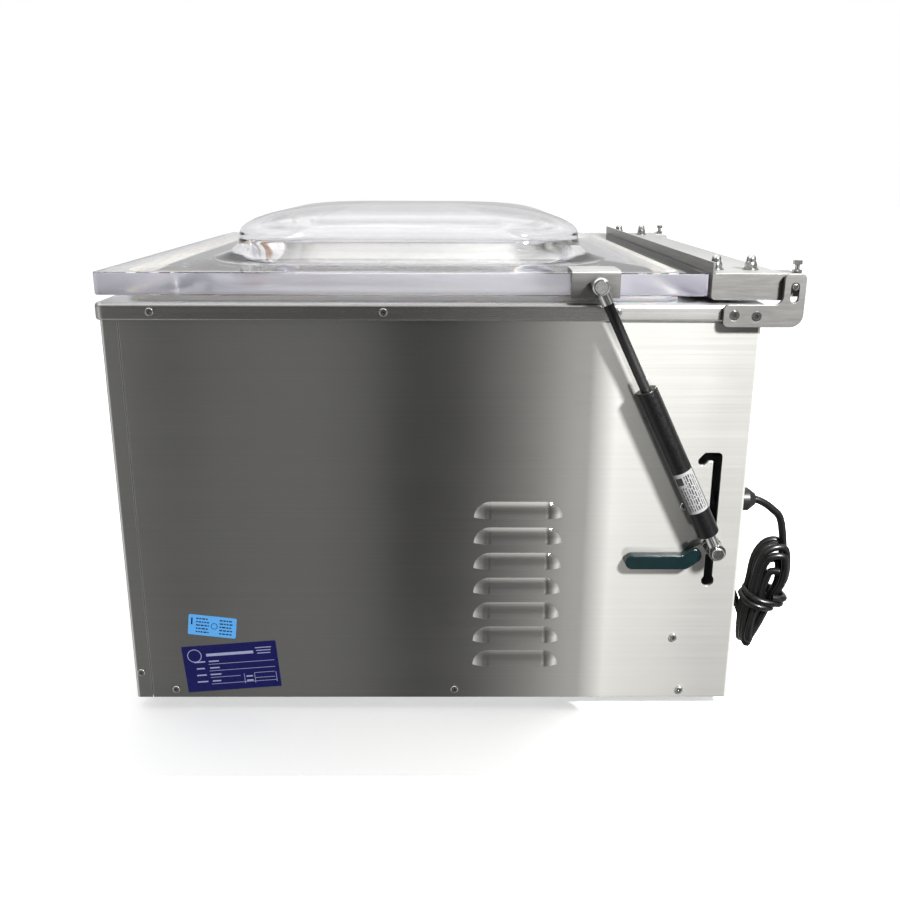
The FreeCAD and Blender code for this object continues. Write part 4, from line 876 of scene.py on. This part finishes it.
# What shiny surfaces see: grey by compass direction in degrees, then by height, and a ceiling added to both
BANDS = [(-180, 1.15), (-150, 1.1), (-128, 0.35), (-100, 0.8), (-86, 0.30), (-70, 1.6), (-40, 0.5),
         (-21, 0.24), (-17, 0.10), (-14, 0.17), (-8.5, 0.20), (-4.3, 0.14), (-3.6, 0.02), (-1.5, 0.02),
         (0.8, 0.03), (2.0, 0.10), (4.5, 0.26), (6.5, 0.45), (8.0, 0.85), (9.2, 1.2), (10.8, 0.6),
         (14.0, 0.5), (16.5, 0.1), (19, 0.1), (35, 0.5), (55, 1.6), (75, 0.3), (95, 0.75), (110, 0.35),
         (135, 1.05), (180, 1.15)]
HEIGHTS = [(0.0, 0.9), (0.44, 1.0), (0.50, 0.62), (0.66, 0.5), (0.80, 1.1), (1.0, 1.3)]
CEILING = [(0.74, 0.0), (0.80, 0.95), (1.0, 0.5)]
# What matt surfaces see, from -X to +X: little light from the right keeps that panel dark
SIDES = [(0.0, 0.92), (0.48, 0.92), (0.62, 0.4), (0.8, 0.16), (1.0, 0.12)]


def grey_ramp(tree, value, stops):
    return ramp(tree, value, [(position, grey(tone)) for position, tone in stops])


def backdrop(tree, colour):
    return add(tree, "Background", {"Color": colour, "Strength": 1.0}).outputs["Background"]


def world():
    """Pale backdrop; shiny things see upright bands of light and shade, as between softboxes."""
    made = bpy.data.worlds.new("studio")
    bpy.context.scene.world = made
    made.use_nodes = True
    tree = made.node_tree
    tree.nodes.clear()
    way = add(tree, "TexCoord").outputs["Generated"]
    split = add(tree, "SeparateXYZ", {"Vector": way})
    x, y, z = (split.outputs[k] for k in "XYZ")
    azimuth = add(tree, "Math", {0: y, 1: x}, operation="ARCTAN2").outputs["Value"]
    turn = remap(tree, azimuth, 0.0, 1.0, -math.pi, math.pi)
    band = grey_ramp(tree, turn, [((angle + 180) / 360, tone) for angle, tone in BANDS])
    upwards = remap(tree, z, 0.0, 1.0, -1.0, 1.0)
    height = grey_ramp(tree, upwards, HEIGHTS)
    ceiling = grey_ramp(tree, upwards, CEILING)
    banded = add(tree, "MixRGB", {"Fac": 1.0, "Color1": band, "Color2": height}, blend_type="MULTIPLY")
    glossy = add(tree, "MixRGB", {"Fac": 1.0, "Color1": banded.outputs["Color"], "Color2": ceiling},
                 blend_type="ADD")
    shiny = backdrop(tree, glossy.outputs["Color"])
    soft = backdrop(tree, grey_ramp(tree, remap(tree, x, 0.0, 1.0, -1.0, 1.0), SIDES))
    through = backdrop(tree, (0.86, 0.86, 0.87, 1))
    pale = backdrop(tree, grey(1.0))
    rays = add(tree, "LightPath")
    seen = soft
    for ray, background in (("Glossy", shiny), ("Transmission", through), ("Camera", pale)):
        which = rays.outputs[f"Is {ray} Ray"]
        seen = add(tree, "MixShader", {"Fac": which, 1: seen, 2: background}).outputs["Shader"]
    add(tree, "OutputWorld", {"Surface": seen})


def floor():
    """A pale floor that takes shadows, but throws no light on the machine and isn't mirrored in it."""
    mesh = bpy.data.meshes.new("floor")
    mesh.from_pydata([(-15, -15, 0), (15, -15, 0), (15, 15, 0), (-15, 15, 0)], [], [(0, 1, 2, 3)])
    made = bpy.data.objects.new("floor", mesh)
    bpy.context.scene.collection.objects.link(made)
    mesh.materials.append(plain("pale_floor", (0.93, 0.93, 0.93, 1), 0.7, 0, 0.01, 3.0, depth=0.00001,
                                edge=0.0001, extra={"Emission Color": grey(1.0), "Emission Strength": 0.44}))
    made.visible_glossy = False
    made.visible_diffuse = False


def area_light(name, place, target, size, watts):
    light = bpy.data.lights.new(name, "AREA")
    light.shape = "RECTANGLE"
    light.size, light.size_y = size
    light.energy = watts
    made = bpy.data.objects.new(name, light)
    made.location = place
    made.rotation_euler = (Vector(target) - Vector(place)).to_track_quat("-Z", "Y").to_euler()
    bpy.context.scene.collection.objects.link(made)


# The way to the key light, how far the flag stands off the panel, and where its shadow on the panel ends
KEY_WAY = Vector((0.718, 0.359, 0.596))
FLAG_OFF = 0.12
SHADE_END_Y = CENTRE.y + 0.172
SHADE_TOP = 0.43


def flag():
    """A board that keeps the key light off the front part of the right-hand panel; only its shadow counts."""
    mesh = bpy.data.meshes.new("flag")
    x = PANEL_FACE_X + FLAG_OFF
    edge_y = SHADE_END_Y + FLAG_OFF * KEY_WAY.y / KEY_WAY.x
    y0, z0, z1 = edge_y - 1.1, -0.2, SHADE_TOP + FLAG_OFF * KEY_WAY.z / KEY_WAY.x
    mesh.from_pydata([(x, y0, z0), (x, edge_y, z0), (x, edge_y, z1), (x, y0, z1)], [], [(0, 1, 2, 3)])
    made = bpy.data.objects.new("flag", mesh)
    bpy.context.scene.collection.objects.link(made)
    mesh.materials.append(FINISH["black_rubber"])
    for ray in ("camera", "diffuse", "glossy", "transmission", "volume_scatter"):
        setattr(made, "visible_" + ray, False)


# From the point under the cabinet's centre; the angles are yaw, pitch and roll in degrees
CAMERA_PLACE = Vector((1.20367, 0.01248, 0.55554))
CAMERA_ANGLES = (0.384, 16.407, 0.185)
SENSOR_MM = 36.0
LENS_MM = 37.84


def camera():
    """The view at the machine's right-hand side, from a little above."""
    yaw, pitch, roll = (math.radians(a) for a in CAMERA_ANGLES)
    ahead = Vector((-math.cos(yaw) * math.cos(pitch), math.sin(yaw) * math.cos(pitch), -math.sin(pitch)))
    level = ahead.cross(Vector((0, 0, 1))).normalized()
    top = level.cross(ahead)
    right = math.cos(roll) * level + math.sin(roll) * top
    up = math.cos(roll) * top - math.sin(roll) * level
    lens = bpy.data.cameras.new("camera")
    lens.sensor_width = SENSOR_MM
    lens.lens = LENS_MM
    made = bpy.data.objects.new("camera", lens)
    turn = Matrix((right, up, -ahead)).transposed().to_4x4()
    made.matrix_world = Matrix.Translation(CENTRE + CAMERA_PLACE) @ turn
    bpy.context.scene.collection.objects.link(made)
    bpy.context.scene.camera = made


world()
floor()
key_target = Vector((PANEL_FACE_X, CENTRE.y + 0.2, 0.25))
area_light("key", key_target + 1.6 * KEY_WAY, key_target, (0.20, 0.20), 118)
area_light("overhead", CENTRE + Vector((0.2, -0.2, 2.4)), CENTRE + Vector((0, 0, 0.4)), (2.0, 2.0), 9)
flag()
camera()
bpy.context.scene.view_settings.view_transform = "Standard"
